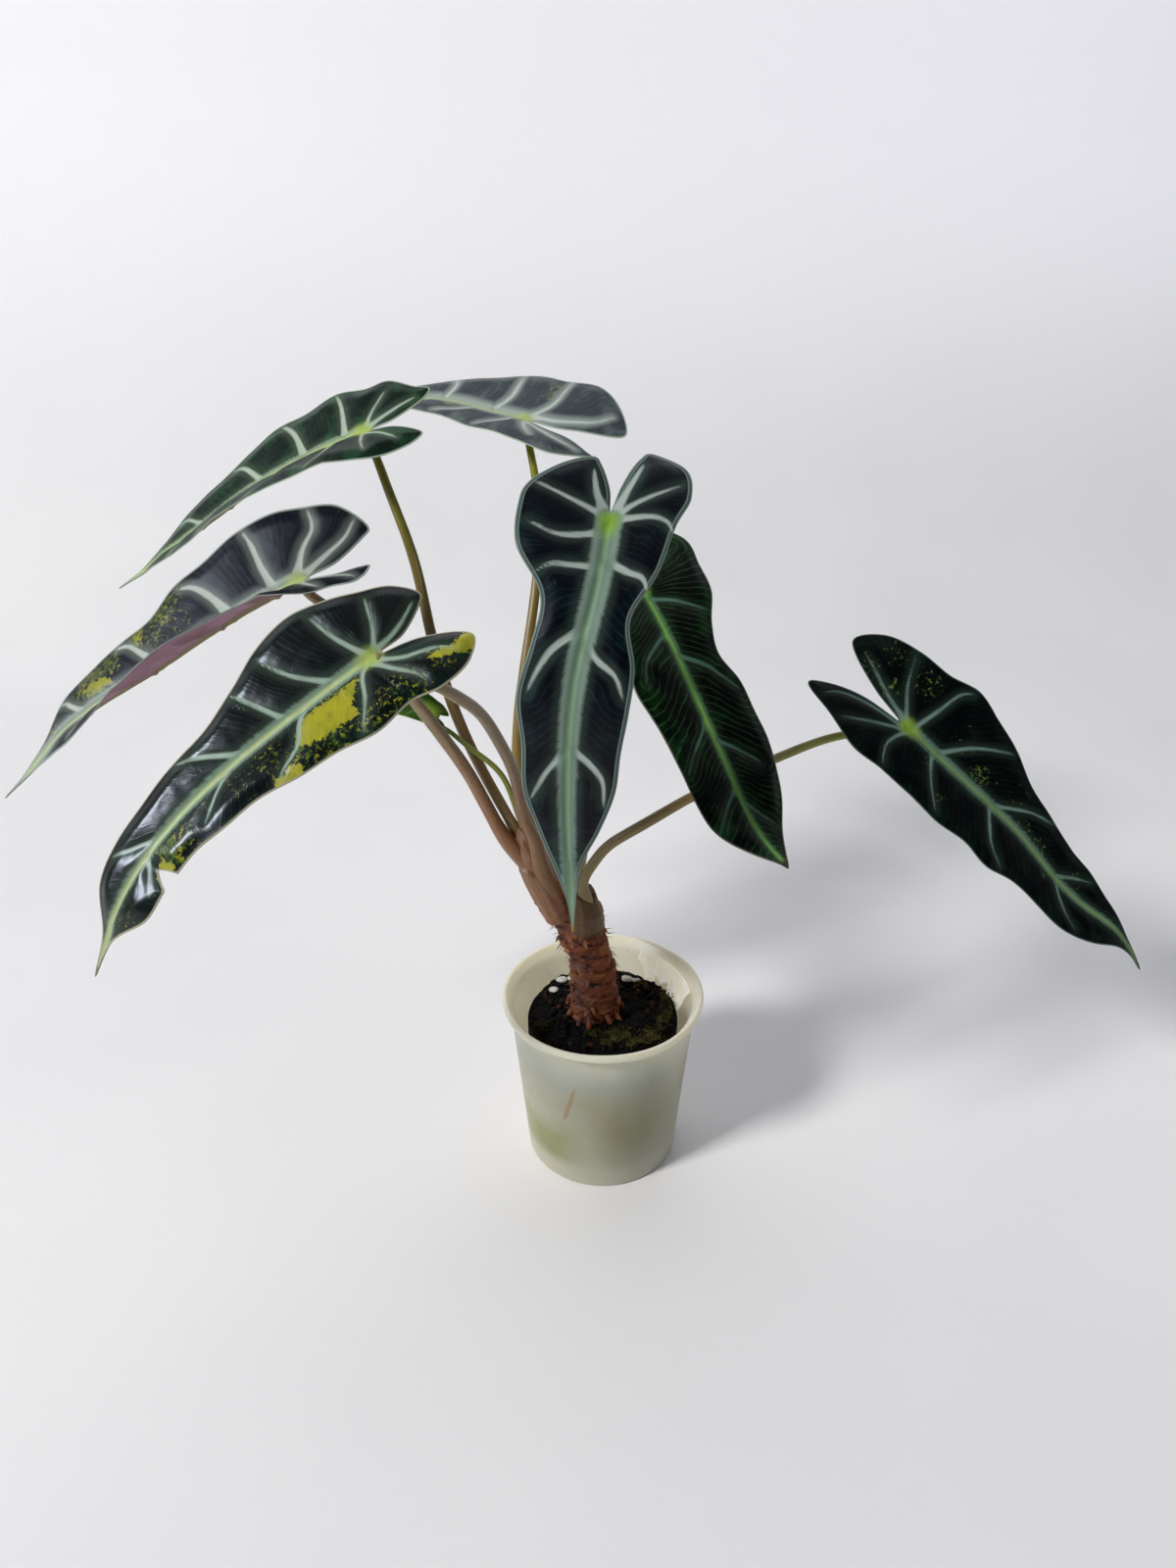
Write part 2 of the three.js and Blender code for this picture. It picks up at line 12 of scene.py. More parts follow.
import bmesh
import bpy
import numpy as np
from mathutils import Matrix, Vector


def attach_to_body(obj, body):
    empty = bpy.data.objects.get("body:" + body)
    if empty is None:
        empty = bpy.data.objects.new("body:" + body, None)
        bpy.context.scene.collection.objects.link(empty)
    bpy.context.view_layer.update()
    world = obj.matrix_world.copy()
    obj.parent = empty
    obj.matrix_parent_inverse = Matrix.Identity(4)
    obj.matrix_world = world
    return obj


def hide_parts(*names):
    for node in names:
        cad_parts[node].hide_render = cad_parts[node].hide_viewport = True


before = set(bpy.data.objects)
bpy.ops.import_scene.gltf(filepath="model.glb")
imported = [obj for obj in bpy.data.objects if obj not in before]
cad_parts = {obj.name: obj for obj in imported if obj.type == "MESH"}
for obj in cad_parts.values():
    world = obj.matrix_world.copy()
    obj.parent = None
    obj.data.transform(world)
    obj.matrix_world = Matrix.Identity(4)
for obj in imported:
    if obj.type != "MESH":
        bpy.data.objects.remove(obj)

LOG = logging.getLogger("alocasia")
MM = 0.001
BODY = "root"
TINY = 1e-12
HASH_AXES = np.array([374761393, 668265263, 2246822519], np.uint64)
HASH_SEED = 3266489917
HASH_STEPS = ((13, 1274126177), (15, 2654435761))
LOW_BITS = np.uint64(0xFFFFFFFF)
CURVE_OVERSAMPLING = 8
ROWS_PER_STEP = 9
LOBE_STEPS = 6
BLADE_STEPS = 26
LOBE_ROWS = LOBE_STEPS * ROWS_PER_STEP
BLADE_ROWS = BLADE_STEPS * ROWS_PER_STEP + 1
BLADE_COLUMNS = 30
BLADE_STATIONS = 500
SINUS = 3.0
FAR = 9.0
NO_VEIN = 1e9
ON_RIM = 1e-6
STALK_GRID = (170, 20)
WRAP_GRID = (72, 76)
TRUNK_GRID = (220, 136)
TRUNK_STATIONS = 200
CUP_COLUMNS = 180
CUP_INNER_ROWS = 52
FILM_GRID = (26, 120)
COMPOST_COLUMNS = 200

Array = np.ndarray
Faces = list[Sequence[int]]
Colour = tuple[float, float, float, float]
Point = tuple[float, float, float]
Thing = bpy.types.Object
Skin = bpy.types.Material
Socket = bpy.types.NodeSocket


def tint(code: str) -> Colour:
    """The linear colour of a six-digit sRGB code."""
    parts = (int(code[k : k + 2], 16) / 255 for k in (0, 2, 4))
    return (*(p / 12.92 if p <= 0.04045 else ((p + 0.055) / 1.055) ** 2.4 for p in parts), 1.0)


# ---------------------------------------------------------------- numbers


def unit(vectors: Array) -> Array:
    """The vectors at length one."""
    return vectors / np.maximum(np.linalg.norm(vectors, axis=-1, keepdims=True), TINY)


def smooth(values: Array, low: float, high: float) -> Array:
    """A soft step from 0 at low to 1 at high."""
    t = np.clip((np.asarray(values, float) - low) / (high - low), 0, 1)
    return t * t * (3 - 2 * t)


def drift(points: Array, size: float, seed: int) -> Array:
    """Smooth seeded noise.

    Args:
        points: n places, in the unit of size.
        size: the width of one lump.
        seed: a different pattern for each number.

    Returns:
        n numbers from -1 to 1.
    """
    places = np.asarray(points, float) / size
    cell = np.floor(places).astype(np.int64)
    part = places - cell
    part = part * part * (3 - 2 * part)
    total = np.zeros(len(places))
    for corner in itertools.product((0, 1), repeat=3):
        h = ((cell + np.array(corner)).astype(np.uint64) * HASH_AXES).sum(1) + np.uint64(seed * HASH_SEED % 2**32)
        h &= LOW_BITS
        for shift, factor in HASH_STEPS:
            h = ((h ^ (h >> np.uint64(shift))) * np.uint64(factor)) & LOW_BITS
        share = np.prod(np.where(corner, part, 1 - part), axis=1)
        total += share * ((h ^ (h >> np.uint64(16))).astype(float) / 2**31 - 1)
    return total


def layered(points: Array, size: float, seed: int, layers: int = 3) -> Array:
    """Noise with finer noise on it, from about -1 to 1."""
    return sum(drift(points, size / 2**k, seed + 17 * k) / 2**k for k in range(layers)) / 1.6


def around(columns: int) -> Array:
    """Evenly spaced angles of one turn."""
    return np.linspace(0, math.tau, columns, endpoint=False)


def run_along(line: Array) -> Array:
    """How far along a line each of its points is."""
    return np.r_[0, np.cumsum(np.linalg.norm(np.diff(line, axis=0), axis=1))]


def read_at(at: Array, knots: Array, table: Array) -> Array:
    """Each column of a table, read between its knots."""
    return np.stack([np.interp(at, knots, column) for column in table.T], -1)


def natural_curve(points: Sequence[Point], count: int) -> Array:
    """Places on the natural cubic spline through points.

    Args:
        points: what the curve goes through.
        count: how many places, evenly spaced along it.

    Returns:
        count by 3 places.
    """
    p = np.array(points, float)
    t = run_along(p)
    h = np.diff(t)
    n = len(p)
    system = np.eye(n)
    right = np.zeros((n, 3))
    for i in range(1, n - 1):
        system[i, i - 1 : i + 2] = h[i - 1], 2 * (h[i - 1] + h[i]), h[i]
        right[i] = 6 * ((p[i + 1] - p[i]) / h[i] - (p[i] - p[i - 1]) / h[i - 1])
    m = np.linalg.solve(system, right)
    s = np.linspace(0, t[-1], CURVE_OVERSAMPLING * count)
    k = np.clip(np.searchsorted(t, s, side="right") - 1, 0, n - 2)
    a, b = (t[k + 1] - s)[:, None], (s - t[k])[:, None]
    w = h[k][:, None]
    low, high = p[k] / w - m[k] * w / 6, p[k + 1] / w - m[k + 1] * w / 6
    fine = (m[k] * a**3 + m[k + 1] * b**3) / (6 * w) + low * a + high * b
    run = run_along(fine)
    return read_at(np.linspace(0, run[-1], count), run, fine)


def rounded(points: Sequence[Sequence[float]], at: Array) -> Array:
    """Places on the uniform Catmull-Rom curve through points, at the given point numbers."""
    p = np.array(points, float)
    q = np.vstack([2 * p[0] - p[1], p, 2 * p[-1] - p[-2]])
    k = np.clip(np.floor(at).astype(int), 0, len(p) - 2)
    t = (np.asarray(at, float) - k)[:, None]
    a, b, c, d = q[k], q[k + 1], q[k + 2], q[k + 3]
    return 0.5 * (2 * b + (c - a) * t + (2 * a - 5 * b + 4 * c - d) * t**2 + (-a + 3 * b - 3 * c + d) * t**3)


def to_line(places: Array, line: Array) -> tuple[Array, Array]:
    """The distance from each place to a polyline, and how far along it the nearest point is, from 0 to 1."""
    a, b = line[:-1], line[1:]
    ab = b - a
    t = ((places[:, None] - a) * ab).sum(-1) / np.maximum((ab * ab).sum(-1), TINY)
    t = np.clip(t, 0, 1)
    gap = np.linalg.norm(places[:, None] - (a + ab * t[..., None]), axis=-1)
    k = gap.argmin(1)
    rows = np.arange(len(places))
    return gap[rows, k], (k + t[rows, k]) / len(a)


def inside(places: Array, ring: Array) -> Array:
    """Which places lie within a closed ring, by counting crossings."""
    x, y = places[:, 0, None], places[:, 1, None]
    a, b = ring, np.roll(ring, -1, axis=0)
    rise = np.where(np.abs(b[:, 1] - a[:, 1]) < 1e-9, 1e-9, b[:, 1] - a[:, 1])
    crossed = ((a[:, 1] > y) != (b[:, 1] > y)) & (x < a[:, 0] + (y - a[:, 1]) / rise * (b[:, 0] - a[:, 0]))
    return crossed.sum(1) % 2 == 1


# ---------------------------------------------------------------- meshes


@dataclass
class Draft:
    """A mesh while it is being put together, in millimetres."""

    points: list[Array] = field(default_factory=list)
    faces: list[tuple[int, ...]] = field(default_factory=list)
    marks: dict[str, list[Array]] = field(default_factory=dict)
    count: int = 0

    def add(self, points: Array, faces: Iterable[Sequence[int]], **marks: Array) -> None:
        """Puts one closed shell into the draft.

        Args:
            points: n by 3 places.
            faces: corners of each face, numbered from 0 in points.
            marks: named n by 3 values that the finish reads.
        """
        for face in faces:
            ring = [int(k) for n, k in enumerate(face) if k != face[n - 1]]
            if len(ring) > 2:
                self.faces.append(tuple(k + self.count for k in ring))
        self.points.append(np.asarray(points, float))
        for name, values in marks.items():
            self.marks.setdefault(name, []).append(np.asarray(values, float))
        self.count += len(points)

    def drop_unused(self) -> None:
        """Drops the points that no face uses, such as the doubles along a midrib."""
        points = np.vstack(self.points)
        used = np.zeros(len(points), bool)
        for face in self.faces:
            used[list(face)] = True
        fresh = np.cumsum(used) - 1
        self.points = [points[used]]
        self.marks = {name: [np.vstack(values)[used]] for name, values in self.marks.items()}
        self.faces = [tuple(int(fresh[k]) for k in face) for face in self.faces]
        self.count = int(used.sum())

    def piece(self, name: str, finish: Skin, nodes: Sequence[str] = ()) -> Thing:
        """Makes the draft an object of the plant.

        Args:
            name: the piece's name.
            finish: its material.
            nodes: the CAD nodes that it stands for.

        Returns:
            The object, which rides on the body.
        """
        mesh = bpy.data.meshes.new(name)
        mesh.from_pydata((np.vstack(self.points) * MM).tolist(), [], self.faces)
        for label, values in self.marks.items():
            layer = mesh.attributes.new(label, "FLOAT_VECTOR", "POINT")
            layer.data.foreach_set("vector", np.vstack(values).astype(np.float32).ravel())
        mesh.materials.append(finish)
        mesh.polygons.foreach_set("use_smooth", [True] * len(mesh.polygons))
        shell = bmesh.new()
        shell.from_mesh(mesh)
        bmesh.ops.recalc_face_normals(shell, faces=shell.faces)
        shell.to_mesh(mesh)
        shell.free()
        thing = bpy.data.objects.new(name, mesh)
        bpy.context.scene.collection.objects.link(thing)
        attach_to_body(thing, BODY)
        if nodes:
            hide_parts(*nodes)
        LOG.info("%s: %d points, %d faces", name, self.count, len(self.faces))
        return thing


def lattice(rows: int, columns: int, closed: bool = False) -> Array:
    """The four corners of each cell of a grid whose points are numbered row by row."""
    i, j = np.meshgrid(np.arange(rows - 1), np.arange(columns if closed else columns - 1), indexing="ij")
    k = (j + 1) % columns
    cells = [i * columns + j, i * columns + k, (i + 1) * columns + k, (i + 1) * columns + j]
    return np.stack(cells, -1).reshape(-1, 4)


def capped(rows: int, columns: int) -> Faces:
    """The faces of a closed tube: its rings, then fans to the two end points that follow them."""
    low, last = rows * columns, (rows - 1) * columns
    faces: Faces = list(lattice(rows, columns, closed=True))
    for j in range(columns):
        after = (j + 1) % columns
        faces += [(low, after, j), (low + 1, last + j, last + after)]
    return faces


def turned(radius: Array, angle: Array, height: Array) -> Array:
    """Places round Z, row by row."""
    return np.stack(np.broadcast_arrays(radius * np.cos(angle), radius * np.sin(angle), height), -1).reshape(-1, 3)


def oval(aside: Array, third: Array, angle: Array, wide: Array) -> Array:
    """Steps from the middle of ovals whose two half widths are the last numbers of wide."""
    return aside * (np.cos(angle) * wide[..., 0])[..., None] + third * (np.sin(angle) * wide[..., 1])[..., None]


def evenly(wide: Array, thin: Array, columns: int) -> Array:
    """Two half widths for each row, the same all the way round, as tube wants them."""
    return np.repeat(np.stack([wide, thin], -1)[:, None], columns, 1)


def frames_along(axis: Array, first: Sequence[float]) -> tuple[Array, Array, Array]:
    """Directions carried along a line without twisting.

    Args:
        axis: n by 3 places.
        first: roughly the first sideways direction.

    Returns:
        The forward, sideways and third directions, n by 3 each.
    """
    ahead = unit(np.gradient(axis, axis=0))
    aside = []
    way = np.array(first, float)
    for step in ahead:
        way = unit(way - step * (way @ step))
        aside.append(way)
    across = np.array(aside)
    return ahead, across, np.cross(ahead, across)


def tube(axis: Array, reach: Array, first: Sequence[float] = (1, 0, 0)) -> tuple[Array, Faces, Array, Array]:
    """A closed tube round a line.

    Args:
        axis: n by 3 places.
        reach: n by m distances from the axis, one for each point round it, or n by m by 2 for an oval.
        first: roughly where the ring starts.

    Returns:
        The points, the faces, how far along each point is from 0 to 1, and its angle.
    """
    _, aside, third = frames_along(axis, first)
    wide = reach if reach.ndim == 3 else np.stack([reach, reach], -1)
    rows, columns = wide.shape[:2]
    angle = around(columns)
    skin = (axis[:, None] + oval(aside[:, None], third[:, None], angle, wide)).reshape(-1, 3)
    along = np.r_[np.repeat(np.linspace(0, 1, rows), columns), 0, 1]
    return np.vstack([skin, axis[:1], axis[-1:]]), capped(rows, columns), along, np.r_[np.tile(angle, rows), 0, 0]


# ---------------------------------------------------------------- shader maths

Number = Union["Value", float]


class Value:
    """A number inside a material. Arithmetic on it adds Math nodes."""

    def __init__(self, graph: "Graph", socket: Socket) -> None:
        """Wraps one output socket."""
        self.graph = graph
        self.socket = socket

    def math(self, operation: str, *others: Number, first: Number | None = None) -> "Value":
        """One Math node.

        Args:
            operation: Blender's name of the operation.
            others: what comes after this value.
            first: what comes before it, where the order matters.

        Returns:
            The result.
        """
        terms = [self, *others] if first is None else [first, self]
        made = self.graph.node("ShaderNodeMath", {"operation": operation}, dict(enumerate(terms)))
        return Value(self.graph, made.outputs[0])

    def __add__(self, other: Number) -> "Value":
        """Sum."""
        return self.math("ADD", other)

    __radd__ = __add__

    def __mul__(self, other: Number) -> "Value":
        """Product."""
        return self.math("MULTIPLY", other)

    __rmul__ = __mul__

    def __sub__(self, other: Number) -> "Value":
        """Difference."""
        return self.math("SUBTRACT", other)

    def __rsub__(self, other: Number) -> "Value":
        """Difference from another number."""
        return self.math("SUBTRACT", first=other)

    def __abs__(self) -> "Value":
        """Size without sign."""
        return self.math("ABSOLUTE")

    def greatest(self, other: Number) -> "Value":
        """The greater of two."""
        return self.math("MAXIMUM", other)

    def step(self, low: float, high: float) -> "Value":
        """A soft step: 0 at low and 1 at high, which may lie below it."""
        flip = high < low
        ends = (high, low) if flip else (low, high)
        settings = {"interpolation_type": "SMOOTHSTEP"}
        made = self.graph.node("ShaderNodeMapRange", settings, {0: self, 1: ends[0], 2: ends[1]})
        soft = Value(self.graph, made.outputs[0])
        return 1.0 - soft if flip else soft


Shade = Union[Socket, Colour, str]


class Graph:
    """The nodes of one material."""

    def __init__(self, name: str) -> None:
        """Makes an empty material with one principled shader."""
        self.material = bpy.data.materials.new(name)
        self.material.use_nodes = True
        self.tree = self.material.node_tree
        self.tree.nodes.clear()
        self.shader = self.tree.nodes.new("ShaderNodeBsdfPrincipled")
        output = self.tree.nodes.new("ShaderNodeOutputMaterial")
        self.tree.links.new(self.shader.outputs[0], output.inputs[0])

    def feed(self, target: Socket, value: object) -> None:
        """Sets a socket or links it."""
        if isinstance(value, Value):
            value = value.socket
        if isinstance(value, str):
            value = tint(value)
        if isinstance(value, Socket):
            self.tree.links.new(value, target)
        else:
            target.default_value = value

    def node(self, kind: str, settings: dict[str, object], values: dict[int | str, object]) -> bpy.types.Node:
        """Adds one node.

        Args:
            kind: Blender's node type.
            settings: its properties, set first.
            values: numbers, colours or links for its inputs.

        Returns:
            The node.
        """
        made = self.tree.nodes.new(kind)
        for name, value in settings.items():
            setattr(made, name, value)
        for key, value in values.items():
            self.feed(made.inputs[key], value)
        return made

    def marks(self, name: str) -> tuple[Value, Value, Value]:
        """The three numbers of a mesh attribute."""
        return self.split(self.node("ShaderNodeAttribute", {"attribute_name": name}, {}).outputs["Vector"])

    def place(self) -> Socket:
        """The point's own position, in metres."""
        return self.node("ShaderNodeTexCoord", {}, {}).outputs["Object"]

    def split(self, vector: Socket) -> tuple[Value, Value, Value]:
        """The three numbers of a vector."""
        made = self.node("ShaderNodeSeparateXYZ", {}, {0: vector})
        return tuple(Value(self, out) for out in made.outputs)

    def vector(self, x: Number, y: Number, z: Number) -> Socket:
        """A vector of three numbers."""
        return self.node("ShaderNodeCombineXYZ", {}, {0: x, 1: y, 2: z}).outputs[0]

    def noise(self, where: Socket, scale: float, detail: float = 3.0, rough: float = 0.55) -> Value:
        """Cloudy noise from 0 to 1."""
        values = {"Vector": where, "Scale": scale, "Detail": detail, "Roughness": rough}
        return Value(self, self.node("ShaderNodeTexNoise", {"normalize": True}, values).outputs[0])

    def cells(self, where: Socket, scale: float) -> Value:
        """The distance to the nearest of scattered points."""
        made = self.node("ShaderNodeTexVoronoi", {"feature": "F1"}, {"Vector": where, "Scale": scale})
        return Value(self, made.outputs["Distance"])

    def blend(self, share: Number, first: Shade, second: Shade) -> Socket:
        """first where share is 0 and second where it is 1."""
        settings = {"data_type": "RGBA", "blend_type": "MIX", "clamp_factor": True}
        return self.node("ShaderNodeMix", settings, {0: share, 6: first, 7: second}).outputs[2]

    def relief(self, height: Number, depth: float, strength: float = 1.0) -> Socket:
        """A bumped normal, from a height where 1 is depth millimetres."""
        values = {"Strength": strength, "Distance": depth * MM, "Height": height}
        return self.node("ShaderNodeBump", {}, values).outputs[0]

    def finish(self, **inputs: object) -> Skin:
        """Feeds the shader's inputs, an underscore standing for a space, and gives the material."""
        for name, value in inputs.items():
            self.feed(self.shader.inputs[name.replace("_", " ")], value)
        return self.material


# ---------------------------------------------------------------- finishes


@dataclass(frozen=True)
class BladeFinish:
    """The skin of one blade: near-black green between pale veins."""

    lamina: str = "123329"
    deep: str = "081416"
    vein: str = "a3b8ab"
    band: str = "7c9885"
    core: str = "a9c97c"
    junction: str = "9cc43a"
    rim: str = "a0ae9c"
    rim_width: float = 0.45
    rim_band: float = 0.0
    margin: str = "5c7468"
    halo: float = 0.25
    minor: float = 0.25
    patch: str = "b7b022"
    speck: str = "7d9328"
    under: str = "6c4d50"
    tip: str = "8a9078"
    gloss: float = 0.3
    shine: float = 0.13
    fade: float = 0.0
    side: float = 0.45

    def material(self, name: str, length: float) -> Skin:
        """The material.

        Args:
            name: what it is called.
            length: the blade's length from the stalk to its tip.

        Returns:
            A material that reads the blade's marks.
        """
        g = Graph(name)
        u, v, comb = g.marks("plane")
        vein, rib, rim = g.marks("edges")
        joint, patch, under = g.marks("spots")
        speckle, middle, tone = g.marks("extra")
        flat = g.vector(u, v, under * 40.0)
        combed = g.vector(comb * 38.0, v * 0.22, u * 0.05)
        streak = g.noise(combed, 1.0, 3.0) - 0.5
        cloud = g.noise(flat, 0.11, 3.0)
        blotch = g.noise(flat, 0.7, 4.0, 0.62) - 0.5
        grain = g.noise(flat, 2.4, 2.0) - 0.5

        # The dark ground and its fine veins.
        skin = g.blend((cloud + streak * 0.2 + tone).step(0.42, 0.78), self.deep, self.lamina)
        wave = comb * 10.0 + g.noise(flat, 0.12, 2.0) * 1.1
        minor = (abs(wave.math("FRACT") - 0.5)).step(0.13, 0.02) * (cloud + 0.25).step(0.5, 0.85)
        skin = g.blend(minor * self.minor, skin, self.band)

        # Speckles, then the solid patches.
        fleck = (speckle * 0.62 + blotch * 1.05 + grain * 0.5).step(0.3, 0.42) * 0.9
        mottle = (g.noise(flat, 0.35, 2.0) + grain * 0.4).step(0.48, 0.75)
        skin = g.blend(fleck, skin, g.blend(mottle, self.speck, self.patch))
        gold = g.blend((cloud + streak * 0.6).step(0.35, 0.7), self.patch, g.blend(0.45, self.patch, self.speck))
        blot = (patch + blotch * 5.5 + grain * 1.6).step(-0.2, 0.3)
        skin = g.blend(blot, skin, gold)

        # The haze beside the veins, the margin, the veins themselves, the midrib, the junction, the rim and the tip.
        soft = vein.step(3.2, -0.2) * self.halo
        skin = g.blend(soft.greatest(rib.step(3.4, 0.0) * self.halo), skin, self.band)
        band = self.rim_band
        margin = (rim + streak * 0.5).step(band + 0.55, max(band - 0.35, 0.0)) * min(band, 1.0)
        skin = g.blend(margin, skin, g.blend(0.35, self.margin, "4a5a54"))
        kept = 1.0 - u.step(length * 0.45, length) * self.fade
        vein_edge = (vein + streak * 1.1).step(0.4, -0.45) * kept
        skin = g.blend(vein_edge, skin, self.vein)
        rib_edge = (rib + streak * 1.5).step(0.75, -0.8) * kept
        skin = g.blend(rib_edge, skin, g.blend(middle.step(0.9, 2.6) * self.side, self.band, self.vein))
        skin = g.blend(middle.step(1.15, 0.35) * u.step(-4.0, 1.0) * kept * 0.65, skin, self.core)
        skin = g.blend((joint + blotch * 1.2).step(4.4, 0.8) * 0.9, skin, self.junction)
        line = rim.step(self.rim_width + 0.18, self.rim_width - 0.2)
        skin = g.blend(line, skin, self.rim)
        if band > 0:
            inner = abs(rim - band).step(0.25, 0.03) * 0.4
            skin = g.blend(inner, skin, self.vein)
        skin = g.blend(u.step(length - 4.0, length - 2.0), skin, self.tip)

        # The underside, with the keels paler than the skin.
        below = g.blend(cloud.step(0.3, 0.7) * 0.3, self.under, "4d4a3c")
        below = g.blend((vein + streak).step(0.9, -0.6).greatest((rib + streak).step(1.0, -1.0)), below, "8d7a6e")
        below = g.blend(middle.step(1.6, 0.4), below, "8c8b52")
        below = g.blend(line, below, self.rim)
        skin = g.blend(under.step(0.45, 0.55), skin, below)

        rough = under.step(0.4, 0.6) * 0.25 + (vein_edge.greatest(rib_edge) * 0.14 + self.gloss) + streak * 0.06
        height = streak * 0.05 + grain * 0.06 + minor * 0.3 + g.noise(flat, 0.5, 3.0) * 0.6
        return g.finish(
            Base_Color=skin, Roughness=rough, Normal=g.relief(height, 0.14, 0.4), Specular_IOR_Level=self.shine
        )


@dataclass(frozen=True)
class StalkFinish:
    """A petiole's skin, from its foot to its blade."""

    foot: str
    middle: str
    top: str
    fleck: str = "4b3a22"

    def material(self, name: str) -> Skin:
        """The material, which reads how far along and round the stalk a point is."""
        g = Graph(name)
        along, angle, run = g.marks("stalk")
        lines = g.noise(g.vector(angle * 3.2, run * 0.05, 0.0), 1.0, 3.0)
        dots = g.noise(g.vector(angle * 2.2, run * 0.35, 3.0), 1.5, 3.0, 0.65)
        skin = g.blend((along + (lines - 0.5) * 0.2).step(0.0, 0.5), self.foot, self.middle)
        skin = g.blend((along + (lines - 0.5) * 0.2).step(0.5, 1.0), skin, self.top)
        skin = g.blend(lines.step(0.5, 0.75) * 0.35, skin, g.blend(0.5, skin, "d8cfa8"))
        skin = g.blend(dots.step(0.55, 0.68) * 0.42, skin, self.fleck)
        height = lines * 0.7 + dots * 0.4
        return g.finish(
            Base_Color=skin, Roughness=0.36 + dots * 0.14, Normal=g.relief(height, 0.12, 0.6), Subsurface_Weight=0.08,
            Subsurface_Radius=(0.004, 0.004, 0.002), Subsurface_Scale=0.5,
        )


@dataclass(frozen=True)
class WrapFinish:
    """The dried and living layers where the petioles wrap the trunk."""

    low: str
    high: str
    edge: str
    stain: str

    def material(self, name: str) -> Skin:
        """The material, which reads how far up, round and along a layer a point is."""
        g = Graph(name)
        along, angle, run = g.marks("stalk")
        lines = g.noise(g.vector(angle * 4.0, run * 0.07, 0.0), 1.0, 4.0, 0.6)
        cloud = g.noise(g.place(), 150.0, 3.0)
        skin = g.blend((along + (cloud - 0.5) * 0.7).step(0.2, 0.9), self.low, self.high)
        skin = g.blend((lines + cloud * 0.4).step(0.62, 0.85) * 0.6, skin, self.stain)
        skin = g.blend((along + (cloud - 0.5) * 0.12).step(0.1, 0.0) * 0.8, skin, self.edge)
        skin = g.blend(lines.step(0.42, 0.3) * 0.3, skin, "3e2414")
        return g.finish(
            Base_Color=skin, Roughness=0.42 + lines * 0.2, Normal=g.relief(lines * 0.8 + cloud * 0.5, 0.25, 0.8),
            Subsurface_Weight=0.05, Subsurface_Radius=(0.004, 0.002, 0.001), Subsurface_Scale=0.5,
        )


@dataclass(frozen=True)
class BarkFinish:
    """The fibrous ringed skin of the trunk."""

    light: str = "c07a40"
    main: str = "8a4319"
    dark: str = "2e1106"

    def material(self, name: str) -> Skin:
        """The material, darkest in the hollows between the scars."""
        g = Graph(name)
        where = g.place()
        x, y, z = g.split(where)
        relief, ring, _ = g.marks("bark")
        drawn = g.vector(x * 260.0, y * 260.0, z * 820.0)
        fibre = g.noise(drawn, 1.0, 5.0, 0.65)
        cloud = g.noise(where, 210.0, 4.0, 0.6)
        skin = g.blend((relief * 0.55 + cloud * 0.8).step(0.18, 0.78), self.dark, self.main)
        skin = g.blend((relief * 0.4 + fibre * 0.9).step(0.58, 0.95), skin, self.light)
        skin = g.blend(g.noise(where, 95.0, 2.0).step(0.5, 0.72) * 0.45, skin, "a96f3c")
        skin = g.blend((cloud + ring * 0.3).step(0.42, 0.3) * 0.65, skin, self.dark)
        height = fibre * 0.8 + cloud * 0.6
        return g.finish(Base_Color=skin, Roughness=0.78 - fibre * 0.12, Normal=g.relief(height, 0.5, 0.9))


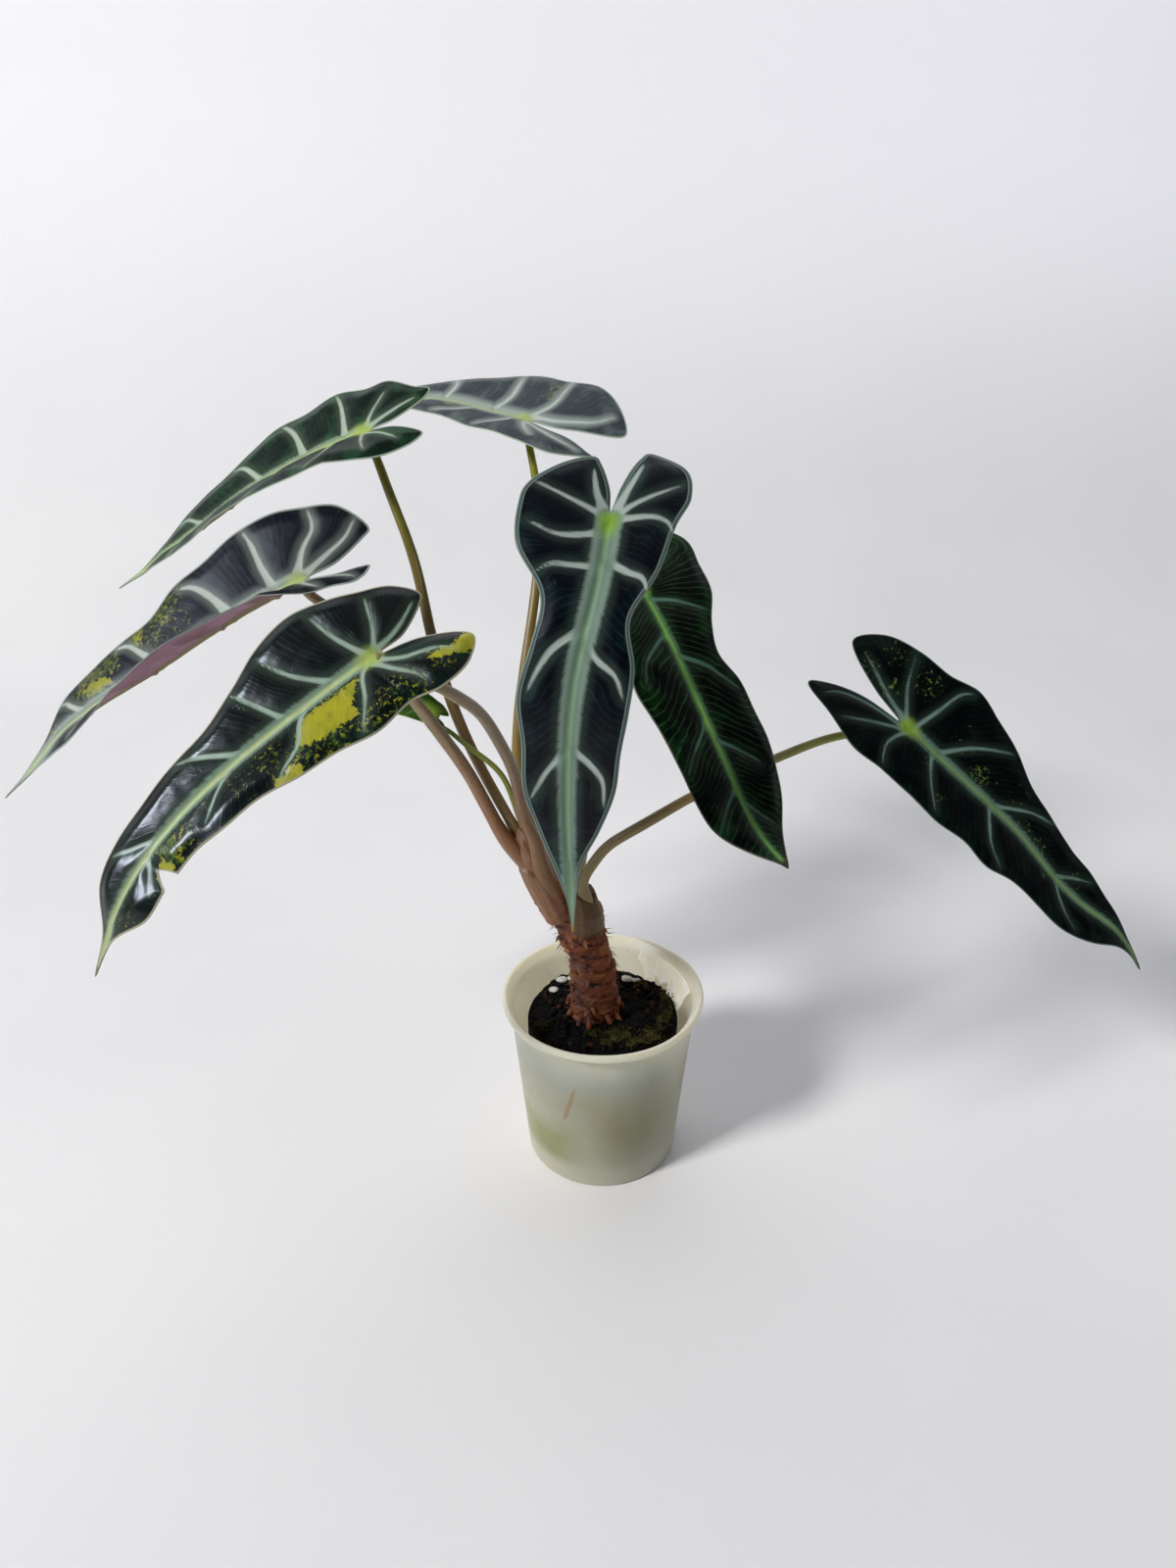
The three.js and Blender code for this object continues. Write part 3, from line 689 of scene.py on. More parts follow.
@dataclass(frozen=True)
class CupFinish:
    """Thin translucent plastic that the wet compost shows through."""

    clear: str = "d9d6c0"
    shaded: str = "aaa588"
    algae: str = "78842f"

    def material(self, name: str, height: float) -> Skin:
        """The material.

        Args:
            name: what it is called.
            height: the cup's height in millimetres.

        Returns:
            A material with the compost's shade, algae and brown stains in the wall.
        """
        g = Graph(name)
        where = g.place()
        x, y, z = g.split(where)
        inner, _, _ = g.marks("wall")
        up = z * (1000.0 / height)
        cloud = g.noise(where, 45.0, 3.0)
        fine = g.noise(where, 260.0, 3.0)
        behind = up.step(0.97, 0.6) * up.step(0.02, 0.2)
        skin = g.blend(behind * (cloud * 0.5 + 0.45), self.clear, self.shaded)
        # Painted olive shade at the right, a grey band under the rim and the brown streak, all in front.
        front = y.step(0.004, -0.01)
        olive = (x + (cloud - 0.5) * 0.03).step(-0.022, 0.014) * x.step(0.04, 0.012)
        olive = olive * up.step(0.92, 0.4) * up.step(0.02, 0.4)
        skin = g.blend(olive * front * 0.75, skin, "86825a")
        skin = g.blend(up.step(0.62, 0.74) * up.step(0.92, 0.86) * front * (cloud + 0.2) * 0.5, skin, "9aa69c")
        streak = abs(x + 0.0105 - (z - 0.05) * 0.22 + (fine - 0.5) * 0.0012).step(0.0012, 0.0003)
        skin = g.blend(streak * z.step(0.031, 0.036) * z.step(0.053, 0.048) * front * 0.6, skin, "a5764c")
        # The paler base, the algae, the rim's shade, the inner wall and small stains near the rim.
        skin = g.blend(up.step(0.2, 0.04) * 0.55, skin, "bdb491")
        spot = g.noise(where, 70.0, 3.0).step(0.58, 0.72)
        low_left = x.step(-0.004, -0.02) * y.step(0.0, -0.015) * up.step(0.5, 0.3) * up.step(0.08, 0.2)
        skin = g.blend(low_left * (cloud * 0.8 + 0.2), skin, self.algae)
        skin = g.blend(spot * up.step(0.1, 0.5) * up.step(0.85, 0.5) * 0.16, skin, self.algae)
        skin = g.blend((up - 0.9).step(-0.045, 0.0) * (up - 0.9).step(0.05, 0.0) * 0.28, skin, "a9b184")
        skin = g.blend(inner * (0.75 + fine * 0.3), skin, "efe6ca")
        mark = (g.noise(where, 330.0, 2.0)).step(0.7, 0.76) * up.step(0.7, 0.95)
        skin = g.blend(mark * 0.35, skin, "7c7a4a")
        return g.finish(
            Base_Color=skin, Roughness=0.34 + fine * 0.16, Normal=g.relief(fine * 0.6 + cloud, 0.12, 0.5),
            Subsurface_Weight=0.8, Subsurface_Radius=(0.009, 0.008, 0.006), Subsurface_Scale=1.0,
            Specular_IOR_Level=0.45,
        )


@dataclass(frozen=True)
class GroundFinish:
    """A rough matt finish of two tones, for compost, moss, grit and bark."""

    dark: str
    light: str
    third: str
    scale: float
    rough: float = 0.9
    depth: float = 0.5
    glow: float = 0.0
    # the strength of a painted glow in the skin's own colour
    painted_light: float = 0.0

    def material(self, name: str) -> Skin:
        """The material."""
        g = Graph(name)
        where = g.place()
        broad = g.noise(where, self.scale, 4.0, 0.6)
        fine = g.noise(where, self.scale * 4.0, 4.0, 0.65)
        pits = g.cells(where, self.scale * 2.0)
        skin = g.blend((broad * 0.6 + fine * 0.5).step(0.4, 0.72), self.dark, self.light)
        skin = g.blend(g.noise(where, self.scale * 0.7, 2.0).step(0.56, 0.7) * 0.6, skin, self.third)
        skin = g.blend(pits.step(0.25, 0.05) * 0.5, skin, self.dark)
        height = fine + pits * 0.5
        # The emission in the skin's own colour is a painted glow that stands in for light falling on the skin.
        return g.finish(
            Base_Color=skin, Roughness=self.rough - fine * 0.15, Normal=g.relief(height, self.depth, 0.9),
            Specular_IOR_Level=0.12, Subsurface_Weight=self.glow, Subsurface_Radius=(0.008, 0.007, 0.006),
            Subsurface_Scale=1.0, Emission_Color=skin, Emission_Strength=self.painted_light,
        )


@dataclass(frozen=True)
class SheetFinish:
    """The white sheet that the plant stands on, and its backdrop."""

    colour: str = "f6f6f7"
    shade: str = "ececee"

    def material(self, name: str) -> Skin:
        """The material."""
        g = Graph(name)
        where = g.place()
        cloud = g.noise(where, 2.2, 3.0)
        fine = g.noise(where, 160.0, 2.0)
        skin = g.blend(cloud.step(0.3, 0.7), self.colour, self.shade)
        x, _, z = g.split(where)
        # Painted light: the backdrop is painted lighter than the floor, and a painted glow that grows towards the
        # right brightens it further.
        skin = g.blend(z.step(0.0, 0.3), skin, "fbfbff")
        painted_light = z.step(0.02, 0.4) * (x.step(-0.5, 0.65) + 0.12)
        return g.finish(
            Base_Color=skin, Roughness=0.5 + fine * 0.1, Normal=g.relief(fine * 0.2 + cloud, 0.3, 0.3),
            Emission_Color=g.blend(painted_light, "000000", "f2f4ff"), Emission_Strength=0.17,
        )


# ---------------------------------------------------------------- blades


@dataclass(frozen=True)
class Lobe:
    """One rounded lobe behind the stalk: its length, and how far out its end, inner, back and front points lie."""

    length: float
    end: float
    gap: float
    back: float
    front: float


@dataclass(frozen=True)
class Half:
    """One half of a blade.

    widths holds ten half widths from the stalk to the tip. rise and curl are degrees, curl for each 20 mm across.
    Each vein holds its width at the midrib and then places along and across the blade, and each patch is a ring of
    such places. Each speck holds a place, a radius and a strength. tear holds its place along the blade, how far from
    the midrib it ends and half its width.
    """

    lobe: Lobe
    widths: tuple[float, ...]
    rise: tuple[float, ...]
    curl: tuple[float, ...]
    veins: tuple[tuple[float, ...], ...]
    patches: tuple[tuple[float, ...], ...] = ()
    specks: tuple[tuple[float, float, float, float], ...] = ()
    tear: tuple[float, float, float] | None = None


class Side(Enum):
    """The half of a blade that is left or right as one looks from the stalk to the tip from above."""

    LEFT = -1
    RIGHT = 1


PUFF_WIDTH = 3.6
VEIN_DEPTH, VEIN_WIDTH = 0.35, 1.1
GROOVE_DEPTH, GROOVE_WIDTH = 0.4, 0.9
DIMPLE_DEPTH, DIMPLE_SIZE = 0.16, 5.0
WAVE_HEIGHT, WAVE_SIZE, WAVE_REACH = 0.5, 11.0, 4.0
RIM_LIFT, RIM_DROP, SKIN_LIFT = 0.05, 0.1, 0.1
RIM_THICKNESS, INNER_GAIN = 0.1, 0.4
KEEL_WIDTH, KEEL_TAPER = 1.5, 0.75
SIDE_KEEL_DEPTH, SIDE_KEEL_WIDTH = 0.32, 0.9


@dataclass
class Blade:
    """One arrow-shaped blade, swept along its midrib."""

    name: str
    node: str
    spine: tuple[Point, ...]
    face: Point
    lean: float
    left: Half
    right: Half
    finish: BladeFinish
    midrib: tuple[float, float, float] = (2.4, 1.9, 1.0)
    rib: float = 1.3
    pad: float = 0.55
    droop: float = 1.0
    slot: str = "blade"
    seed: int = 1

    def __post_init__(self) -> None:
        """Lays out the midrib and the directions along it."""
        self.line = natural_curve(self.spine, BLADE_STATIONS)
        self.length = float(np.linalg.norm(np.diff(self.line, axis=0), axis=1).sum())
        self.at = np.linspace(0, self.length, BLADE_STATIONS)
        self.ahead, self.above, _ = frames_along(self.line, self.face)

    def surface(self, u: Array, v: Array, side: Side) -> tuple[Array, Array]:
        """Where the blade's middle layer lies.

        Args:
            u: distances along the midrib, below 0 on the lobes.
            v: distances across.
            side: which half.

        Returns:
            The places and the direction that is up for the blade there.
        """
        half = self.left if side is Side.LEFT else self.right
        along = np.clip(u, 0, self.length)
        base, ahead, above = (read_at(along, self.at, line) for line in (self.line, self.ahead, self.above))
        ahead, above = unit(ahead), unit(above)
        across = np.cross(ahead, above)
        back = np.maximum(-u, 0)[:, None]
        bend = math.radians(self.lean) / 10
        if bend:
            base = base - ahead * np.sin(bend * back) / bend - above * (1 - np.cos(bend * back)) / bend
            above = above * np.cos(bend * back) - ahead * np.sin(bend * back)
        else:
            base = base - ahead * back
        stations = (-0.16, 0.08, 0.5, 1.0) if len(half.rise) == 4 else (0.0, 0.5, 1.0)
        rise = np.radians(np.interp(u / self.length, stations, half.rise))
        curl = np.radians(np.interp(u / self.length, (0.0, 0.5, 1.0), half.curl)) / 20
        curl = np.where(np.abs(curl) < 1e-6, 1e-6, curl)
        out = (np.sin(rise + curl * v) - np.sin(rise)) / curl
        up = (np.cos(rise) - np.cos(rise + curl * v)) / curl
        return base - side.value * across * out[:, None] + above * up[:, None], above

    def edge_points(self, half: Half) -> list[tuple[float, float]]:
        """The points that a half's outline goes through, from the notch between the lobes to the tip."""
        lobe, size = half.lobe, half.lobe.length
        ring = [(-SINUS, 0.0), (-0.5 * size, lobe.gap), (-0.88 * size, 0.55 * lobe.end + 0.3 * lobe.gap)]
        ring += [(-size, lobe.end), (-0.74 * size, lobe.back), (-0.36 * size, lobe.front)]
        ring += [(self.length * k / 10, w) for k, w in enumerate(half.widths)]
        return ring + [(self.length, 0.0)]

    def plan(self, half: Half) -> tuple[Array, Array]:
        """A half laid flat.

        Returns:
            The grid of places along and across, and its outline.
        """
        step = np.linspace(0, BLADE_STEPS, BLADE_ROWS)
        ring = self.edge_points(half)
        outer = rounded(ring, 3 + step / 2)
        inner = np.zeros_like(outer)
        lobe = step < LOBE_STEPS
        inner[lobe] = rounded(ring, 3 - step[lobe] / 2)
        inner[~lobe, 0] = -SINUS + (self.length + SINUS) * (step[~lobe] - LOBE_STEPS) / (BLADE_STEPS - LOBE_STEPS)
        if half.tear:
            middle, depth, width = half.tear
            cut = np.maximum(0, 1 - np.abs(outer[:, 0] - middle) / width) ** 0.7
            outer[:, 1] -= cut * np.maximum(outer[:, 1] - depth, 0)
        for edge in (outer, inner):
            edge[:, 1] = np.maximum(edge[:, 1], 0)
        share = np.linspace(0, 1, BLADE_COLUMNS + 1)[None, :, None]
        grid = inner[:, None] + (outer - inner)[:, None] * share
        free = np.vstack([inner[: LOBE_ROWS + 1][::-1], outer[1:]])
        return grid, free

    def marks(self, half: Half, flat: Array, free: Array, side: Side) -> dict[str, Array]:
        """What the finish and the relief need to know at each place.

        Args:
            half: the half.
            flat: n places along and across.
            free: its outline.
            side: which half.

        Returns:
            Named arrays, one number for each place.
        """
        u, v = flat[:, 0], flat[:, 1]
        centre, edge = [], []
        for vein in half.veins:
            course = np.array(vein[1:]).reshape(-1, 2)
            line = rounded(course, np.linspace(0, len(course) - 1, 9 * (len(course) - 1) + 1))
            gap, part = to_line(flat, line)
            width = vein[0] * (0.27 * (1 - part) ** 0.7 + 0.05 + 0.22 * np.exp(-part / 0.07))
            centre.append(gap)
            edge.append(gap - np.maximum(width * smooth(part, 1.02, 0.9), 0.02))
        centre.append(np.hypot(u - self.length, v))
        far = np.array(centre)
        order = np.arange(len(far))
        first = far.argmin(0)
        cols = np.arange(far.shape[1])
        near = far[first, cols]
        low = np.where(first > 0, far[np.maximum(first - 1, 0), cols], NO_VEIN)
        high = np.where(first < len(far) - 1, far[np.minimum(first + 1, len(far) - 1), cols], NO_VEIN)
        way = np.where(high < low, 1, -1)
        comb = order[first] + way * near / (near + np.minimum(low, high))
        half_rib = np.interp(u / self.length, (0.0, 0.5, 1.0), self.midrib)
        rib = np.where(u > 0, v, np.hypot(u, v)) - half_rib
        patch = np.full(len(u), -FAR)
        for ring in half.patches:
            corners = np.array(ring).reshape(-1, 2)
            gap, _ = to_line(flat, np.vstack([corners, corners[:1]]))
            patch = np.maximum(patch, np.where(inside(flat, corners), gap, -gap))
        speckle = np.zeros(len(u))
        for su, sv, radius, strength in half.specks:
            speckle = np.maximum(speckle, strength * smooth(np.hypot(u - su, v - sv), radius * 1.3, radius * 0.4))
        rim, _ = to_line(flat, free)
        return {
            "vein": np.minimum.reduce(edge), "centre": np.minimum.reduce(centre[:-1]), "comb": comb, "rib": rib,
            "rim": rim, "joint": np.hypot(np.where(u > 0, u / 1.7, u), v), "patch": np.clip(patch, -FAR, FAR),
            "speckle": speckle, "side": np.full(len(u), float(side.value)),
        }

    def relief(self, flat: Array, known: dict[str, Array]) -> Array:
        """How far the upper skin stands above the smooth blade: puffed between veins and sunk along them."""
        u, v = flat[:, 0], flat[:, 1]
        hold = smooth(known["rim"], 0.0, 5.0)
        gap = np.minimum(known["centre"], v + 0.5)
        puff = self.pad * (1 - np.exp(-((gap / PUFF_WIDTH) ** 2))) * hold
        sunk = -VEIN_DEPTH * np.exp(-((known["centre"] / VEIN_WIDTH) ** 2)) * smooth(known["rim"], 1.0, 5.0)
        groove = -GROOVE_DEPTH * np.exp(-((v / GROOVE_WIDTH) ** 2)) * smooth(u, -2.0, 3.0)
        place = np.stack([u, v * known["side"], np.full(len(u), 7.0 * self.seed)], 1)
        dimple = DIMPLE_DEPTH * layered(place, DIMPLE_SIZE, self.seed) * hold
        wave = WAVE_HEIGHT * drift(place, WAVE_SIZE, self.seed + 5) * np.exp(-known["rim"] / WAVE_REACH)
        wave *= smooth(u, self.length, self.length - 25)
        hang = self.droop * (1 - smooth(known["rim"], -1.0, 5.0)) * smooth(u, self.length, self.length - 15)
        return puff + sunk + groove + dimple + wave - hang

    def halves(self) -> tuple[list[Array], list[Array], list[Array], list[dict[str, Array]]]:
        """Both halves before they get their thickness.

        Returns:
            For each half its places, its upward directions, its flat plan and its marks.
        """
        grid_size = (BLADE_ROWS, BLADE_COLUMNS + 1, 3)
        places, ups, flats, known = [], [], [], []
        for side, half in ((Side.LEFT, self.left), (Side.RIGHT, self.right)):
            grid, free = self.plan(half)
            flat = grid.reshape(-1, 2)
            where, above = self.surface(flat[:, 0], flat[:, 1], side)
            mesh = where.reshape(grid_size)
            up = unit(np.cross(np.gradient(mesh, axis=0), np.gradient(mesh, axis=1)))
            up *= np.sign((up * above.reshape(grid_size)).sum(-1, keepdims=True) + 1e-9)
            up[0], up[-1] = up[1, grid_size[1] // 2], up[-2, grid_size[1] // 2]
            places.append(mesh)
            ups.append(up)
            flats.append(flat)
            known.append(self.marks(half, flat, free, side))
        shared = unit(ups[0][LOBE_ROWS:, 0] + ups[1][LOBE_ROWS:, 0])
        for up in ups:
            up[LOBE_ROWS:, 0] = shared
        tip = unit(ups[0][-1] + ups[1][-1])
        for up in ups:
            up[-1] = tip
        return places, ups, flats, known

    def lift(self, flat: Array, know: dict[str, Array], under: bool) -> Array:
        """How far the upper or the lower skin lies above the blade's middle layer."""
        u, v = flat[:, 0], flat[:, 1]
        relief = self.relief(flat, know)
        if under:
            thick = RIM_THICKNESS + INNER_GAIN * smooth(know["rim"], 0.0, 3.0)
            keel = self.rib * (1 - KEEL_TAPER * np.clip(u / self.length, 0, 1))
            keel *= np.exp(-((v / KEEL_WIDTH) ** 2)) * smooth(u, -2.5, 2.0)
            side_keel = SIDE_KEEL_DEPTH * np.exp(-((know["centre"] / SIDE_KEEL_WIDTH) ** 2))
            inner = relief - thick - keel - side_keel * smooth(know["rim"], 1.0, 6.0)
        else:
            inner = relief + SKIN_LIFT
        return np.where(know["rim"] < ON_RIM, relief + (-RIM_DROP if under else RIM_LIFT), inner)

    def faces(self) -> Faces:
        """The faces of both skins, whose halves share the midrib, and of the strips that close the free edges."""
        count = BLADE_ROWS * (BLADE_COLUMNS + 1)
        index = [np.arange(count).reshape(BLADE_ROWS, -1) + k * count for k in range(2)]
        for grid in index:
            grid[0] = grid[0, 0]
        index[1][LOBE_ROWS:, 0] = index[0][LOBE_ROWS:, 0]
        for grid in index:
            grid[-1] = index[0][-1, 0]
        faces: Faces = []
        for layer in range(2):
            for k in range(2):
                grid = index[k] + layer * 2 * count
                cells = np.stack([grid[:-1, :-1], grid[:-1, 1:], grid[1:, 1:], grid[1:, :-1]], -1).reshape(-1, 4)
                faces += cells[:, :: 1 if k ^ layer else -1].tolist()
        for grid in index:
            for line in (grid[:, -1], grid[: LOBE_ROWS + 1, 0]):
                low = line + 2 * count
                faces += np.stack([line[:-1], line[1:], low[1:], low[:-1]], -1).tolist()
        return faces

    def build(self) -> Thing:
        """The blade as one closed skin, upper and lower."""
        skins: list[Array] = []
        marks: dict[str, list[Array]] = {"plane": [], "edges": [], "spots": [], "extra": []}
        halves = list(zip(*self.halves()))
        for under in (False, True):
            for place, up, flat, know in halves:
                u, v = flat[:, 0], flat[:, 1]
                skins.append(place.reshape(-1, 3) + up.reshape(-1, 3) * self.lift(flat, know, under)[:, None])
                tone = 0.12 * smooth(know["rim"], 9.0, 1.0) - 0.06
                marks["plane"].append(np.stack([u, v * know["side"], know["comb"]], 1))
                marks["edges"].append(np.stack([know["vein"], know["rib"], know["rim"]], 1))
                marks["spots"].append(np.stack([know["joint"], know["patch"], np.full(len(u), float(under))], 1))
                marks["extra"].append(np.stack([know["speckle"], v, tone], 1))
        draft = Draft()
        draft.add(np.vstack(skins), self.faces(), **{name: np.vstack(values) for name, values in marks.items()})
        draft.drop_unused()
        return draft.piece(self.name, self.finish.material(self.name + "_skin", self.length), [self.node])


# ---------------------------------------------------------------- stalks, wraps and trunk


@dataclass
class Stalk:
    """One petiole, from its foot deep in the wrap to the underside of its blade."""

    name: str
    node: str
    foot: tuple[tuple[float, float, float, float], ...]
    route: tuple[Point, ...]
    reach: tuple[float, float, float, float]
    blade: Blade
    finish: StalkFinish
    seed: int = 1

    def build(self) -> Thing:
        """The stalk as one tapering tube that flares into its foot."""
        attach, above = self.blade.line[0], self.blade.above[0]
        under = attach - above * 0.9
        last = np.array(self.route[-1])
        near = (attach - above * 4) * 0.75 + last * 0.25
        points = [f[:3] for f in self.foot] + list(self.route) + [tuple(near), tuple(under)]
        rows, columns = STALK_GRID
        line = natural_curve(points, rows)
        run = run_along(line)
        knots = np.array(points)
        at = np.array([run[np.linalg.norm(line - k, axis=1).argmin()] for k in knots])
        start = at[len(self.foot)]
        stalk_at = start + (run[-1] - start) * np.array([0.0, 1 / 3, 2 / 3, 1.0])
        ends = np.r_[at[: len(self.foot)], stalk_at[0] + 9.0, stalk_at[1:]]
        sizes = np.r_[[f[3] for f in self.foot], self.reach]
        reach = np.interp(run, ends, sizes)
        reach += 0.55 * reach * smooth(run, run[-1] - 3.0, run[-1] + 1.0)
        angle = around(columns)
        where = np.stack(np.meshgrid(run * 0.12, np.cos(angle) * 1.5, indexing="ij"), -1).reshape(-1, 2)
        bump = drift(np.c_[where, np.tile(np.sin(angle) * 1.5, rows)], 1.0, self.seed).reshape(rows, columns)
        ring = reach[:, None] * (1 + 0.05 * bump + 0.03 * np.cos(3 * angle + self.seed)[None])
        skin, faces, along, turn = tube(line, ring)
        part = np.clip((np.interp(along, np.linspace(0, 1, rows), run) - start) / (run[-1] - start), 0, 1)
        draft = Draft()
        draft.add(skin, faces, stalk=np.stack([part, turn, along * run[-1]], 1))
        return draft.piece(self.name, self.finish.material(self.name + "_skin"), [self.node])


@dataclass(frozen=True)
class Layer:
    """One layer of a wrap: an oval tube whose upper end is cut on a slant and hugs what comes out of it."""

    axis: tuple[Point, ...]
    across: tuple[float, ...]
    deep: tuple[float, ...]
    overlap: float
    slant: float
    turn: float
    seed: int


@dataclass
class Wrap:
    """The layers where a group of petioles clasps the trunk."""

    name: str
    node: str
    layers: tuple[Layer, ...]
    finish: WrapFinish

    def build(self) -> Thing:
        """All the layers in one piece."""
        draft = Draft()
        for layer in self.layers:
            self.add_layer(draft, layer)
        return draft.piece(self.name, self.finish.material(self.name + "_skin"), [self.node])

    def add_layer(self, draft: Draft, layer: Layer) -> None:
        """One layer, with the overlapping edge that runs up it."""
        rows, columns = WRAP_GRID
        line = natural_curve(layer.axis, rows)
        run = np.linspace(0, 1, rows)
        wide = read_at(run, np.linspace(0, 1, len(layer.across)), np.stack([layer.across, layer.deep], -1))
        angle = around(columns)
        spiral = np.mod(angle[None] - layer.turn - 0.9 * run[:, None], math.tau) / math.tau
        fold = 1 + layer.overlap * (spiral - 0.5)
        place = np.stack(np.meshgrid(run * 3.0, np.cos(angle) * 2.0, indexing="ij"), -1).reshape(-1, 2)
        rough = layered(np.c_[place, np.tile(np.sin(angle) * 2.0, rows)], 0.8, layer.seed).reshape(rows, columns)
        top = 1 - layer.slant * (0.5 + 0.5 * np.cos(angle - layer.turn - 1.2)) - 0.05 * np.abs(rough[-1])
        close = 1 - 0.35 * smooth(run[:, None] / top[None], 0.9, 1.02)
        ribs = 1 + 0.018 * np.cos(11 * angle + 3 * np.sin(angle))[None]
        lip = 1 + 0.05 * smooth(run, 0.06, 0.0)[:, None] * (1 + 0.8 * rough)
        ring = wide[:, None] * (fold * close * ribs * lip * (1 + 0.035 * rough))[..., None]
        _, aside, third = frames_along(line, (1, 0, 0))
        at = run[:, None] * top[None]
        centre, side, front = (read_at(at, run, part) for part in (line, aside, third))
        skin = (centre + oval(side, front, angle, ring)).reshape(-1, 3)
        _, faces, along, turn = tube(line, ring)
        ends = np.vstack([line[:1], skin.reshape(rows, columns, 3)[-1].mean(0, keepdims=True)])
        length = float(np.linalg.norm(np.diff(line, axis=0), axis=1).sum())
        draft.add(np.vstack([skin, ends]), faces, stalk=np.stack([along, turn, along * length], 1))


@dataclass(frozen=True)
class Bud:
    """One bud or leaf scar of the trunk: where it sits, its size, and how far it stands out and is hollow."""

    height: float
    angle: float
    size: float
    proud: float
    hollow: float


